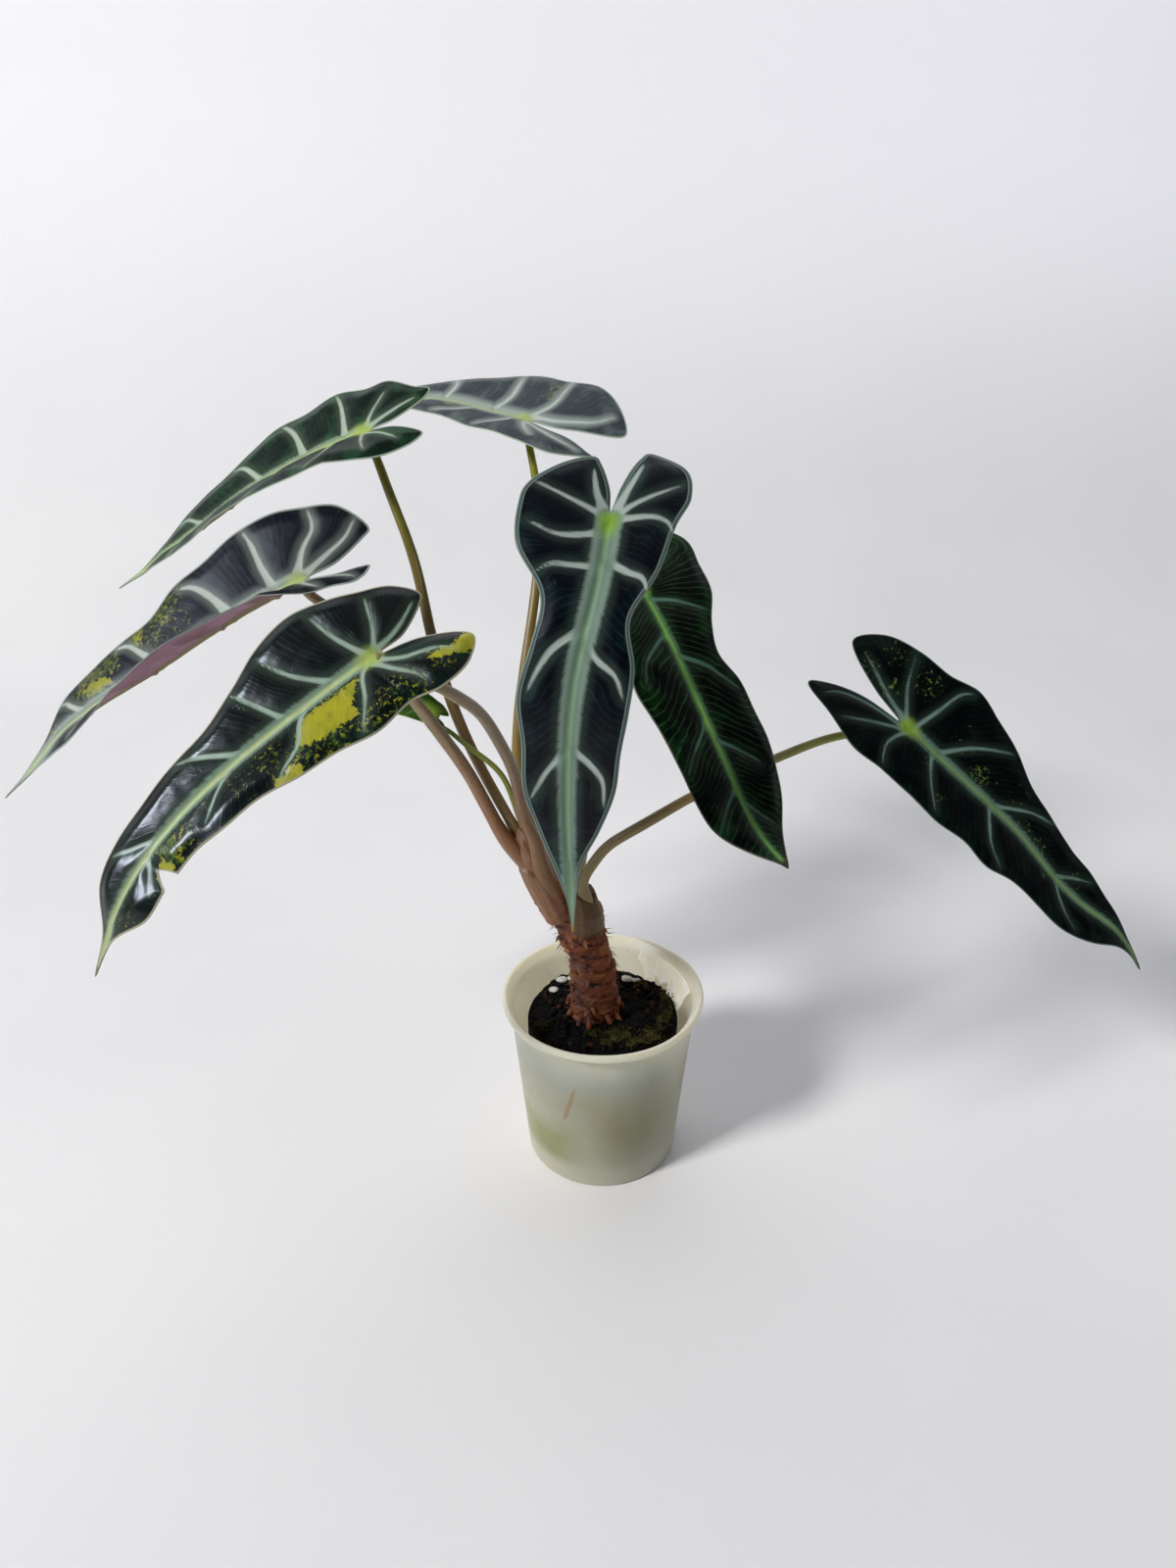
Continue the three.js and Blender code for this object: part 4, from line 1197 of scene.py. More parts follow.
@dataclass
class Trunk:
    """The short ringed trunk with its buds, scales, hairs and roots."""

    axis: tuple[Point, ...]
    across: tuple[float, ...]
    deep: tuple[float, ...]
    buds: tuple[Bud, ...]
    ring_gap: float
    foot_height: float
    scales: int
    roots_round: int
    finish: BarkFinish

    def skin_at(self, share: Array, angle: Array, proud: float = 0.0) -> Array:
        """Places on the trunk's smooth skin, for what grows from it."""
        line = natural_curve(self.axis, TRUNK_STATIONS)
        _, aside, third = frames_along(line, (1, 0, 0))
        run = np.linspace(0, 1, TRUNK_STATIONS)
        stops = np.linspace(0, 1, len(self.across))
        centre, side, front = (read_at(share, run, part) for part in (line, aside, third))
        wide, deep = (np.interp(share, stops, sizes) + proud for sizes in (self.across, self.deep))
        return centre + side * (np.cos(angle) * wide)[:, None] + front * (np.sin(angle) * deep)[:, None]

    def build(self) -> list[Thing]:
        """The trunk, then its scales and its roots."""
        rows, columns = TRUNK_GRID
        line = natural_curve(self.axis, rows)
        share, turn = np.repeat(np.linspace(0, 1, rows), columns), np.tile(around(columns), rows)
        base = self.skin_at(share, turn)
        height = base[:, 2]
        tilt = 1.1 * np.sin(turn + 0.7) + 0.9 * layered(base, 9.0, 3)
        phase = (height + tilt) / self.ring_gap
        saw = phase - np.floor(phase)
        ring = 0.55 * (saw - 0.5) - 0.5 * np.exp(-((np.minimum(saw, 1 - saw) / 0.09) ** 2))
        rough = 0.75 * layered(base * np.array([1, 1, 0.8]), 5.0, 11, 3)
        rough += 0.4 * layered(base * np.array([1, 1, 1.9]), 1.7, 12, 3)
        lift = ring + rough - 0.45
        for bud in self.buds:
            aside = 9.0 * (np.mod(turn - bud.angle + np.pi, math.tau) - np.pi)
            gap = np.hypot(height - bud.height, aside) / bud.size
            lift += bud.proud * np.exp(-(gap**2.4)) - bud.hollow * np.exp(-((gap / 0.38) ** 2))
        lift *= smooth(share, 1.0, 0.97) * 0.6 + 0.4
        skin = base + unit(base - np.repeat(line, columns, axis=0)) * lift[:, None]
        marks = np.stack([np.clip(lift * 0.45 + 0.5, 0, 1), saw, saw * 0], 1)
        marks = np.vstack([marks, marks[:1], marks[-1:]])
        draft = Draft()
        draft.add(np.vstack([skin, line[:1], line[-1:]]), capped(rows, columns), bark=marks)
        bark = self.finish.material("trunk_bark")
        return [draft.piece("trunk", bark, ["stem"]), self.hairs(bark), self.roots(bark)]

    def hairs(self, bark: Skin) -> Thing:
        """The old scales and the hairs that stand out from the trunk."""
        rng = np.random.default_rng(41)
        draft = Draft()
        for _ in range(self.scales):
            share, angle = rng.uniform(0.2, 0.98), rng.uniform(0, math.tau)
            broad = rng.random() < 0.3
            base = self.skin_at(np.array([share]), np.array([angle]), -0.3)[0]
            out = unit(base - np.array([-3.5, 0, base[2]]))
            side = np.cross(out, (0, 0, 1))
            way = out * rng.uniform(0.2, 0.9) + side * rng.uniform(-1, 1) + np.array([0, 0, rng.uniform(-1.0, 0.7)])
            way = unit(way)
            if broad:
                long, wide, thin = rng.uniform(1.4, 3.0), rng.uniform(0.6, 1.5), 0.16
                way = unit(way - out * 0.75 * way.dot(out))
            else:
                long, wide = rng.uniform(1.0, 3.4), rng.uniform(0.07, 0.16)
                thin = wide
            sag = np.array([0, 0, -rng.uniform(0, 0.5)])
            t = np.linspace(0, 1, 7)[:, None]
            line = base + way * long * t + (out * rng.uniform(0, 0.35) + sag) * long * t**2
            shape = np.interp(t[:, 0], (0, 0.35, 1), (0.7, 1.0, 0.08))
            skin, faces, along, _ = tube(line, evenly(wide * shape, thin * shape, 8), tuple(side))
            tone = np.full(len(skin), rng.uniform(0.1, 0.95))
            draft.add(skin, faces, bark=np.stack([tone, along, along * 0], 1))
        return draft.piece("trunk_scales", bark)

    def roots(self, bark: Skin) -> Thing:
        """The thick aerial roots that go down into the compost round the trunk's foot."""
        rng = np.random.default_rng(57)
        draft = Draft()
        for k in range(self.roots_round):
            angle = math.tau * (k + rng.uniform(-0.3, 0.3)) / self.roots_round
            base = self.skin_at(np.array([rng.uniform(0.23, 0.31)]), np.array([angle]), -1.0)[0]
            out = np.array([math.cos(angle), math.sin(angle), 0.0])
            aside = np.array([-out[1], out[0], 0.0]) * rng.uniform(-0.5, 0.5)
            long, thick, t = rng.uniform(2.6, 5.6), rng.uniform(0.8, 1.3), np.linspace(0, 1, 14)[:, None]
            drop = np.array([0, 0, self.foot_height - base[2]])
            line = base + (out + aside) * long * t * (1.3 - 0.6 * t) + drop * t**1.5
            shape = thick * (1.1 - 0.35 * t[:, 0]) * (1 + 0.12 * np.sin(9 * t[:, 0] + k))
            skin, faces, along, _ = tube(line, evenly(shape, shape, 14), (0, 0, 1))
            skin = skin + 0.4 * layered(skin, 1.5, 90 + k)[:, None] * (out + aside + np.array([0, 0, 0.6]))
            tone = np.full(len(skin), rng.uniform(0.15, 0.65)) + 0.25 * drift(skin, 1.2, 80 + k)
            draft.add(skin, faces, bark=np.stack([tone, along, along * 0], 1))
        return draft.piece("trunk_roots", bark)


# ---------------------------------------------------------------- cup and compost


@dataclass
class Cup:
    """The flared nursery cup."""

    height: float = 70.5
    base_radius: float = 28.7
    taper: float = 0.088
    wall: float = 1.1
    floor: float = 1.6
    lip_radius: float = 37.5
    lip_height: float = 3.0
    lip_inner: float = 36.3
    drain_radius: float = 3.0
    drain_ring: float = 18.0
    finish: CupFinish = CupFinish()

    def radius(self, z: float) -> float:
        """The outer radius at a height."""
        return self.base_radius + self.taper * z

    def profile(self) -> Array:
        """Radius and height round the wall, from the middle of the base up the outside and down the inside."""
        foot = self.height - self.lip_height
        outer = [(self.radius(z), z) for z in np.linspace(1.2, foot - 1.6, 34)]
        neck, lip, mouth, top = self.radius(foot), self.lip_radius, self.lip_inner, self.height
        roll = [(neck + 0.15, foot - 0.5), (neck + 1.0, foot - 0.05), (lip - 0.8, foot + 0.05)]
        roll += [(lip - 0.2, foot + 0.35), (lip, foot + 1.0), (lip, top - 1.0), (lip - 0.25, top - 0.3)]
        roll += [(lip - 0.75, top), (mouth, top - 0.05), (mouth - 0.6, top - 0.5)]
        roll += [(neck - self.wall + 0.7, foot + 0.3)]
        inner = [(self.radius(z) - self.wall, z) for z in np.linspace(foot - 0.9, self.floor + 1.2, 34)]
        base = [(r, 0.0) for r in np.linspace(0.6, self.base_radius - 1.0, 14)]
        base += [(self.base_radius - 0.3, 0.25), (self.base_radius, 0.7)]
        corner = self.radius(2) - self.wall
        floor = [(corner - 0.5, self.floor + 0.3)] + [(r, self.floor) for r in np.linspace(corner - 1.3, 0.6, 14)]
        return np.array(base + outer + roll + inner + floor)

    def build(self) -> Thing:
        """The cup with its four drainage holes."""
        ring = self.profile()
        rows, angle = len(ring), around(CUP_COLUMNS)
        skin = turned(ring[:, :1], angle, ring[:, 1:])
        turn = np.tile(angle, rows)
        out = unit(skin * np.array([1, 1, 0]))
        dent = 0.22 * np.sin(2 * turn + 0.6) + 0.12 * np.sin(5 * turn) + 0.1 * drift(skin, 14.0, 8)
        skin = skin + out * (dent * smooth(skin[:, 2], 20, 70))[:, None]
        within = np.r_[np.repeat(np.arange(rows) >= rows - CUP_INNER_ROWS, CUP_COLUMNS), False, True]
        draft = Draft()
        points = np.vstack([skin, [[0, 0, 0]], [[0, 0, self.floor]]])
        draft.add(points, capped(rows, CUP_COLUMNS), wall=np.outer(within, (1, 0, 0)))
        cup = draft.piece("cup", self.finish.material("cup_plastic", self.height), ["nursery_cup"])
        self.drill(cup)
        return cup

    def drill(self, cup: Thing) -> None:
        """Cuts the drainage holes through the base."""
        pins = Draft()
        for k in range(4):
            a = (k + 0.5) * math.pi / 2
            x, y = self.drain_ring * math.cos(a), self.drain_ring * math.sin(a)
            line = np.array([[x, y, z] for z in np.linspace(-2, 5, 4)])
            skin, faces, _, _ = tube(line, np.full((4, 28), self.drain_radius))
            pins.add(skin, faces)
        mesh = bpy.data.meshes.new("drain_pins")
        mesh.from_pydata((np.vstack(pins.points) * MM).tolist(), [], pins.faces)
        tool = bpy.data.objects.new("drain_pins", mesh)
        bpy.context.scene.collection.objects.link(tool)
        cut = cup.modifiers.new("drains", "BOOLEAN")
        cut.operation, cut.object, cut.solver = "DIFFERENCE", tool, "EXACT"
        bpy.context.view_layer.update()
        view = bpy.context.evaluated_depsgraph_get()
        done = bpy.data.meshes.new_from_object(cup.evaluated_get(view))
        cup.modifiers.clear()
        cup.data = done
        bpy.data.objects.remove(tool)


@dataclass
class Film:
    """The torn skin of roots and lime on the inside of the cup's back wall."""

    start: float
    end: float
    top: float
    drop: float
    finish: GroundFinish

    def build(self, cup: Cup) -> Thing:
        """A crumpled strip with a ragged lower edge, lying on the wall."""
        rows, columns = FILM_GRID
        angle = np.radians(np.linspace(self.start, self.end, columns))
        share = np.linspace(0, 1, rows)
        degrees = np.degrees(angle)
        ragged = 0.72
        for height, size, seed in ((0.28, 3.0, 5), (0.12, 1.1, 6)):
            ragged = ragged + height * drift(np.c_[degrees / size, angle * 0, angle * 0], 1.0, seed)
        taper = smooth(degrees, self.start, self.start + 8) * smooth(degrees, self.end, self.end - 8)
        z = self.top - share[:, None] * (self.drop * ragged * (0.25 + 0.75 * taper))[None]
        flat = np.stack(np.broadcast_arrays(angle[None] * 30, z, 0 * z), -1).reshape(-1, 3)
        crumple = (0.9 + 0.75 * layered(flat, 3.0, 21)).reshape(rows, columns) * smooth(share, 0, 0.25)[:, None]
        down = share[:, None]
        smooth_wall = cup.radius(z) - cup.wall - 0.35 - crumple * (0.3 + 0.9 * down) - 1.4 * down**2
        skins = [turned(smooth_wall - thick, angle, z) for thick in (0.15, 0.6)]
        count = rows * columns
        grid = np.arange(count).reshape(rows, columns)
        cells = lattice(rows, columns)
        faces = cells.tolist() + (cells[:, ::-1] + count).tolist()
        rim = np.r_[grid[0], grid[1:, -1], grid[-1, -2::-1], grid[-2:0:-1, 0]]
        nxt = np.roll(rim, -1)
        faces += np.stack([rim, rim + count, nxt + count, nxt], -1).tolist()
        draft = Draft()
        draft.add(np.vstack(skins), faces)
        return draft.piece("wall_film", self.finish.material("wall_film_skin"))


def lump(size: Sequence[float], detail: int, seed: int, rough: float) -> tuple[Array, Array]:
    """An irregular closed lump about the origin: its points and faces."""
    phi = (1 + 5**0.5) / 2
    points = [(a, b * phi, 0) for a in (-1, 1) for b in (-1, 1)]
    points += [(0, a, b * phi) for a in (-1, 1) for b in (-1, 1)]
    points += [(a * phi, 0, b) for a in (-1, 1) for b in (-1, 1)]
    p = unit(np.array(points, float))
    faces = [
        f for f in itertools.combinations(range(12), 3)
        if all(np.linalg.norm(p[f[i]] - p[f[i - 1]]) < 1.1 for i in range(3))
    ]
    outward = [np.dot(np.cross(p[f[1]] - p[f[0]], p[f[2]] - p[f[0]]), p[f[0]]) > 0 for f in faces]
    faces = np.array([f if good else f[::-1] for f, good in zip(faces, outward)])
    for _ in range(detail):
        edges = np.sort(np.vstack([faces[:, [0, 1]], faces[:, [1, 2]], faces[:, [2, 0]]]), 1)
        kinds, back = np.unique(edges, axis=0, return_inverse=True)
        middle = len(p) + back.reshape(3, -1)
        p = unit(np.vstack([p, p[kinds].mean(1)]))
        a, b, c = faces.T
        ab, bc, ca = middle
        faces = np.vstack([np.c_[a, ab, ca], np.c_[b, bc, ab], np.c_[c, ca, bc], np.c_[ab, bc, ca]])
    grow = 1 + rough * layered(p + seed * 3.1, 0.9, seed)
    return p * grow[:, None] * np.array(size), faces


@dataclass(frozen=True)
class Mound:
    """Where a grain or a cushion of moss lies, its radius and how high it is."""

    x: float
    y: float
    radius: float
    tall: float


@dataclass
class Compost:
    """The root plug with its crumbs, bark, grit and moss."""

    top: float = 62.0
    radius: float = 28.3
    grit: tuple[Mound, ...] = ()
    moss: tuple[Mound, ...] = ()
    mossy_nodes: int = 3

    def height(self, xy: Array) -> Array:
        """How high the surface stands at each place."""
        flat = np.c_[xy, np.zeros(len(xy))]
        edge = smooth(np.hypot(xy[:, 0], xy[:, 1]), self.radius - 0.5, self.radius - 5.0)
        return self.top - 2.6 + 2.0 * edge + 1.0 * layered(flat, 7.0, 31, 4) + 0.5 * layered(flat, 2.0, 32, 2)

    def plug(self) -> Thing:
        """The plug itself."""
        side = [(r, 2.2) for r in np.linspace(2, 26.5, 6)]
        side += [(27.6 + 0.012 * z, z) for z in np.linspace(4, self.top - 4, 30)]
        cover = [(r, self.top) for r in np.linspace(self.radius - 0.4, 0.8, 58)]
        ring = np.array(side + [(self.radius - 0.1, self.top - 3.4)] + cover)
        skin = turned(ring[:, :1], around(COMPOST_COLUMNS), ring[:, 1:])
        wall = len(side) * COMPOST_COLUMNS
        out = unit(skin * np.array([1, 1, 0]))
        skin[:wall] += out[:wall] * (0.25 * layered(skin[:wall], 4.0, 33) - 0.15)[:, None]
        first = (len(side) + 1) * COMPOST_COLUMNS
        skin[first:, 2] = self.height(skin[first:, :2])
        draft = Draft()
        points = np.vstack([skin, [[0, 0, 2.2]], [[0, 0, self.top - 1]]])
        draft.add(points, capped(len(ring), COMPOST_COLUMNS))
        finish = GroundFinish("030202", "0b0704", "101006", 220.0)
        return draft.piece("compost", finish.material("compost_dark"), ["potting_soil"])

    def scatter(
        self, name: str, count: int, seed: int, sizes: tuple[float, float], finish: GroundFinish, inner: float = 9.0
    ) -> Thing:
        """Loose bits over the surface.

        Args:
            name: the piece's name.
            count: how many bits.
            seed: where and how they lie.
            sizes: their least and greatest radius.
            finish: their finish.
            inner: the radius that they keep clear round the trunk.

        Returns:
            The bits as one piece.
        """
        rng = np.random.default_rng(seed)
        draft = Draft()
        for k in range(count):
            r, a = math.sqrt(rng.uniform(inner**2, (self.radius - 1.2) ** 2)), rng.uniform(0, math.tau)
            xy = np.array([[r * math.cos(a) - (3 if r < 14 else 0), r * math.sin(a)]])
            size = rng.uniform(*sizes) * np.array([1, rng.uniform(0.5, 0.9), rng.uniform(0.35, 0.7)])
            points, faces = lump(size, 2 if size[0] > 1.25 else 1, seed * 50 + k, 0.45)
            spin = rng.uniform(0, math.tau)
            tilt = rng.uniform(-0.6, 0.6)
            c, s, ct, st = math.cos(spin), math.sin(spin), math.cos(tilt), math.sin(tilt)
            turn = np.array([[c, -s, 0], [s, c, 0], [0, 0, 1]]) @ np.array([[ct, 0, st], [0, 1, 0], [-st, 0, ct]])
            z = self.height(xy)[0] + size[2] * 0.25
            draft.add(points @ turn.T + np.array([*xy[0], z]), faces)
        return draft.piece(name, finish.material(name + "_finish"))

    def grains(self) -> list[Thing]:
        """The white perlite grains that CAD places, each in the hollow that it lies in."""
        finish = GroundFinish("c9c6ba", "efeee8", "b4ad98", 600.0, 0.85, 0.35)
        skin = finish.material("perlite_white")
        made = []
        for k, grain in enumerate(self.grit):
            points, faces = lump((grain.radius, grain.radius * 0.8, grain.tall / 2), 4, 70 + k, 0.3)
            draft = Draft()
            draft.add(points + np.array([grain.x, grain.y, self.top - 0.35 + grain.tall / 2]), faces)
            made.append(draft.piece(f"grit_{k + 1}", skin, [f"perlite_{k + 1}"]))
        return made

    def tufts(self) -> list[Thing]:
        """The moss: cushions of small pointed leaves."""
        finish = GroundFinish("12150a", "5a5426", "2e3114", 260.0, 0.9, 0.3)
        skin = finish.material("moss_green")
        made = []
        for k, cushion in enumerate(self.moss):
            x, y, radius, tall = cushion.x, cushion.y, cushion.radius, cushion.tall
            rng = np.random.default_rng(300 + k)
            draft = Draft()
            points, faces = lump((radius * 0.8, radius * 0.65, tall * 0.5), 3, 90 + k, 0.5)
            draft.add(points + np.array([x, y, self.top]), faces)
            for _ in range(int(12 * radius * radius) + 40):
                a, r = rng.uniform(0, math.tau), radius * rng.normal(0.6, 0.42)
                r *= 1 + 0.45 * math.sin(2 * a + 1.7 * k) + 0.25 * math.sin(5 * a + 2 * k)
                up = self.top + 0.35 * tall * (1.2 - abs(r) / radius)
                self.add_leaflet(draft, np.array([x + r * math.cos(a), y + 0.82 * r * math.sin(a), up]), rng, 1.7)
            nodes = [f"moss_{k + 1}"] if k < self.mossy_nodes else []
            made.append(draft.piece(f"moss_tuft_{k + 1}", skin, nodes))
        return made

    def add_leaflet(self, draft: Draft, foot: Array, rng: np.random.Generator, long: float) -> None:
        """One small pointed leaf of moss, at most as long as given."""
        way = unit(np.array([rng.normal(0, 0.8), rng.normal(0, 0.8), rng.uniform(0.5, 1.3)]))
        t = np.linspace(0, 1, 5)[:, None]
        long = long * rng.uniform(0.5, 1.0)
        line = foot + way * long * t + np.array([rng.normal(0, 0.5), rng.normal(0, 0.5), -0.5]) * t**2 * long * 0.5
        shape = np.interp(t[:, 0], (0, 0.4, 1), (0.16, 0.24, 0.03))
        skin, faces, _, _ = tube(line, evenly(shape, shape * 0.45, 4), (1, 0.2, 0))
        draft.add(skin, faces)


# ---------------------------------------------------------------- studio


@dataclass(frozen=True)
class Lamp:
    """One square lamp: its place and size in metres, its power, and whether gloss mirrors it and matt skin sees it."""

    name: str
    place: Point
    size: float
    watts: float
    colour: str
    glossy: bool = True
    diffuse: bool = True


# A bright key from the left and front, a lamp that only glints in the leaves' gloss, and a broad weak top light.
LAMPS = (
    Lamp("key", (-1.64, -1.15, 1.87), size=0.46, watts=54.0, colour="fffdfa", glossy=False),
    Lamp("glint", (-0.90, -0.48, 0.77), size=0.34, watts=18.0, colour="e6f0ff", diffuse=False),
    Lamp("top", (0.3, -0.1, 1.6), size=1.6, watts=2.8, colour="f6faff"),
)


@dataclass
class Studio:
    """A white sheet that curves up into a backdrop, soft light, and the photograph's camera, in metres.

    rows holds the sheet's rows on the floor, in the bend and up the wall.
    """

    eye: Point = (-0.0055, -0.353, 0.344)
    pitch: float = 62.2
    lens: float = 27.02
    half_width: float = 4.5
    near: float = -1.6
    bend_start: float = 0.42
    bend_radius: float = 0.45
    tall: float = 2.4
    sensor: float = 36.0
    nearest: float = 0.01
    rows: tuple[int, int, int] = (24, 40, 12)
    columns: int = 30
    middle: Point = (0.0, 0.0, 0.13)
    sky: str = "eef3fc"
    sky_strength: float = 0.12

    def camera(self) -> None:
        """Places the camera where the photograph was taken from."""
        data = bpy.data.cameras.new("camera")
        data.lens, data.sensor_width, data.clip_start = self.lens, self.sensor, self.nearest
        camera = bpy.data.objects.new("camera", data)
        camera.location = self.eye
        camera.rotation_euler = (math.radians(self.pitch), 0, 0)
        bpy.context.scene.collection.objects.link(camera)
        bpy.context.scene.camera = camera

    def sheet(self) -> None:
        """The floor and the backdrop in one sweep."""
        flat, curved, upright = self.rows
        bend = np.radians(np.linspace(0, 90, curved))
        path = [(y, 0.0) for y in np.linspace(self.near, self.bend_start, flat)]
        radius = self.bend_radius
        path += [(self.bend_start + radius * math.sin(a), radius * (1 - math.cos(a))) for a in bend[1:]]
        path += [(self.bend_start + radius, z) for z in np.linspace(radius, self.tall, upright)[1:]]
        across = np.linspace(-self.half_width, self.half_width, self.columns)
        points = [(x, y, z) for y, z in path for x in across]
        mesh = bpy.data.meshes.new("sheet")
        mesh.from_pydata(points, [], lattice(len(path), len(across)).tolist())
        mesh.polygons.foreach_set("use_smooth", [True] * len(mesh.polygons))
        mesh.materials.append(SheetFinish().material("sheet_white"))
        thing = bpy.data.objects.new("sheet", mesh)
        bpy.context.scene.collection.objects.link(thing)

    def hang(self, lamp: Lamp) -> None:
        """One square soft lamp that looks at the plant."""
        data = bpy.data.lights.new(lamp.name, "AREA")
        data.size, data.energy, data.color = lamp.size, lamp.watts, tint(lamp.colour)[:3]
        thing = bpy.data.objects.new(lamp.name, data)
        thing.location = lamp.place
        aim = Vector(self.middle) - Vector(lamp.place)
        thing.rotation_euler = aim.to_track_quat("-Z", "Y").to_euler()
        thing.visible_glossy, thing.visible_diffuse = lamp.glossy, lamp.diffuse
        bpy.context.scene.collection.objects.link(thing)

    def light(self) -> None:
        """The lamps and dim, cool surroundings that no gloss mirrors."""
        for lamp in LAMPS:
            self.hang(lamp)
        world = bpy.data.worlds.new("surroundings")
        world.use_nodes = True
        background = world.node_tree.nodes["Background"]
        background.inputs[0].default_value = tint(self.sky)
        background.inputs[1].default_value = self.sky_strength
        world.cycles_visibility.glossy = False
        bpy.context.scene.world = world
        bpy.context.scene.view_settings.view_transform = "Standard"


# ---------------------------------------------------------------- the plant


def upper_left_blade() -> Blade:
    """The blade at the upper left, seen nearly edge-on with its far half raised."""
    return Blade(
        "blade_upper_left", "leaf_upper_left",
        ((-76, 25, 270), (-96, 29, 261), (-119, 33, 248), (-142, 37, 232), (-157, 39, 222), (-169, 41, 213.5)),
        (0.12, -0.27, 0.95), 7,
        Half(
            Lobe(21.5, 11.5, 1, 13.5, 18), (18.5, 21.5, 19, 19, 16.5, 13.5, 12.5, 10, 5, 1.2), (20, 20, 23, 18),
            (7, 6, 4),
            ((2.6, -1, 1, -9, 4, -17, 8), (2.2, -1, 2, -3, 7, -7, 13), (3.0, 7, 1, 8, 10, 9, 16, 11, 21),
             (3.4, 23, 1, 26, 11, 29, 16, 31, 18), (3.0, 41, 1, 47, 10, 53, 13), (2.4, 69, 1, 75, 7, 80, 8)),
        ),
        Half(
            Lobe(21, 8, 2, 13, 17), (18, 18, 17.5, 16, 15, 15, 13, 10, 6, 1.2), (-16, 9, 14, 0), (0, 0, 0),
            ((2.4, -1, 2, -7, 5, -13, 9), (2.0, 0, 1, -1, 8, -3, 13), (2.6, 12, 1, 14, 9, 17, 14),
             (2.6, 33, 1, 37, 9, 43, 13), (2.4, 55, 1, 60, 7, 66, 11), (2.0, 76, 1, 80, 5, 84, 7)),
        ),
        BladeFinish(lamina="1d4c30", deep="081a14", vein="a9b9a8", band="869c7e", core="b9cc82", junction="a8bd5e",
                    halo=0.15, gloss=0.36, minor=0.05, tip="9aa08c"),
        midrib=(1.9, 1.7, 1.2), droop=1.2, seed=2,
    )


def back_blade() -> Blade:
    """The blade at the back, seen at a grazing angle, its grey skin a painted sheen."""
    return Blade(
        "blade_back", "leaf_back",
        ((-27, 60, 267), (-42, 73, 268), (-58, 86, 269), (-80, 101, 265), (-107, 112, 256)), (0, -0.25, 0.97), 6,
        Half(
            Lobe(34, 13, 2, 20.5, 26), (24, 24, 22.5, 18.5, 15, 13, 12, 10, 6, 2), (14, 14, 13, 10), (0, 0, 0),
            ((2.6, -2, 2, -12, 4, -22, 9, -26, 15), (2.6, -1, 2, -4, 10, -3, 18, -2, 25),
             (3.0, 16, 1, 15, 9, 17, 16, 19, 21),
             (2.6, 40, 1, 41, 9, 45, 14), (2.2, 62, 1, 66, 7, 70, 10), (2.0, 80, 1, 84, 6, 88, 7)),
            specks=((0, 14, 4, 0.56), (1, 19, 4, 0.5), (30, 18, 5, 0.5)),
        ),
        Half(
            Lobe(33, 4, 1, 15, 17), (17, 17, 16, 15, 15.5, 14.5, 12.5, 9.5, 6, 2), (8, 8, 9, 4), (0, 0, 0),
            ((2.4, -2, 2, -17, 6, -28, 6), (2.2, 0, 1, -6, 7, -12, 11), (2.4, 4, 1, 7, 8, 10, 14),
             (2.6, 24, 1, 28, 8, 33, 12), (2.4, 46, 1, 51, 8, 56, 12), (2.0, 70, 1, 75, 6, 80, 8)),
            patches=((29, 2, 34, 3, 35, 6, 31, 6),),
        ),
        # The pale grey lamina and the strong haze beside the veins are a painted sheen, for the grazing reflection
        # that greys this blade.
        BladeFinish(lamina="5a6664", deep="333b43", vein="b6c0ba", band="94a09a", core="a8b87c", junction="a4b470",
                    halo=0.85, gloss=0.48, minor=0.1, patch="7f8752", speck="6c7658"),
        midrib=(2.2, 1.8, 1.2), droop=0.8, seed=3,
    )


def left_blade() -> Blade:
    """The blade at the far left, its near half rolled up so that the purple underside shows."""
    return Blade(
        "blade_left", "leaf_left",
        ((-95.5, 0, 229.5), (-115, -4.5, 220), (-145.5, -10, 201.5), (-165, -12, 190), (-184, -13.5, 173.5),
         (-197, -14, 160)),
        (-0.5, -0.2, 0.84), 4,
        Half(
            Lobe(26, 8.5, 0.5, 18, 22), (25, 25.5, 23, 22, 17.5, 16.5, 13.5, 10, 4, 1), (42, 35, 29, 32), (10, 4, 4.5),
            ((3.0, -2, 1, -11, 4, -18, 7, -23, 12), (3.0, -1, 3, -5, 9, -10, 14, -11, 21),
             (4.0, 8, 1, 9, 10, 9, 19, 10, 25),
             (4.6, 24, 1, 27, 10, 31, 17, 36, 20), (4.2, 52, 1, 55, 6, 60, 13, 65, 15),
             (3.2, 82, 1, 85, 5, 87, 8, 90, 9)),
            patches=((68, 4, 75, 3, 79, 6, 76, 8, 70, 7), (45, 21, 48, 20, 48, 22), (54, 12, 57, 12, 57, 15, 54, 15)),
            specks=((44, 17, 9, 0.6), (37, 20, 6, 0.5), (50, 10, 8, 0.5), (40, 10, 8, 0.4), (56, 14, 5, 0.7),
                    (76, 8, 9, 0.65),
                    (68, 11, 6, 0.6), (95, 6, 6, 0.5), (104, 4, 6, 0.5)),
        ),
        Half(
            Lobe(22.5, 6, 4, 11.5, 13), (19, 18.5, 20, 22.5, 20, 15.5, 12.5, 9.5, 4, 1), (-23, 19, 14, -28),
            (16, 38, -12),
            ((3.0, -2, 1, -10, 5, -17, 9), (2.4, 0, 1, -3, 8, -6, 12), (3.0, 8, 1, 11, 9, 15, 15),
             (3.0, 28, 1, 32, 9, 38, 16), (3.0, 54, 1, 58, 7, 63, 11), (2.4, 80, 1, 84, 5, 88, 6)),
        ),
        BladeFinish(
            lamina="2b2c35", deep="0f111b", vein="b6c0b8", band="8d9a93", core="bccb92", junction="b0c476",
            rim="98a39c", rim_width=0.6,
            halo=0.4, patch="9a9a34", speck="566030", under="9c7586", gloss=0.44, minor=0.06, tip="8f938a",
        ),
        midrib=(3.0, 2.6, 1.9), seed=4,
    )


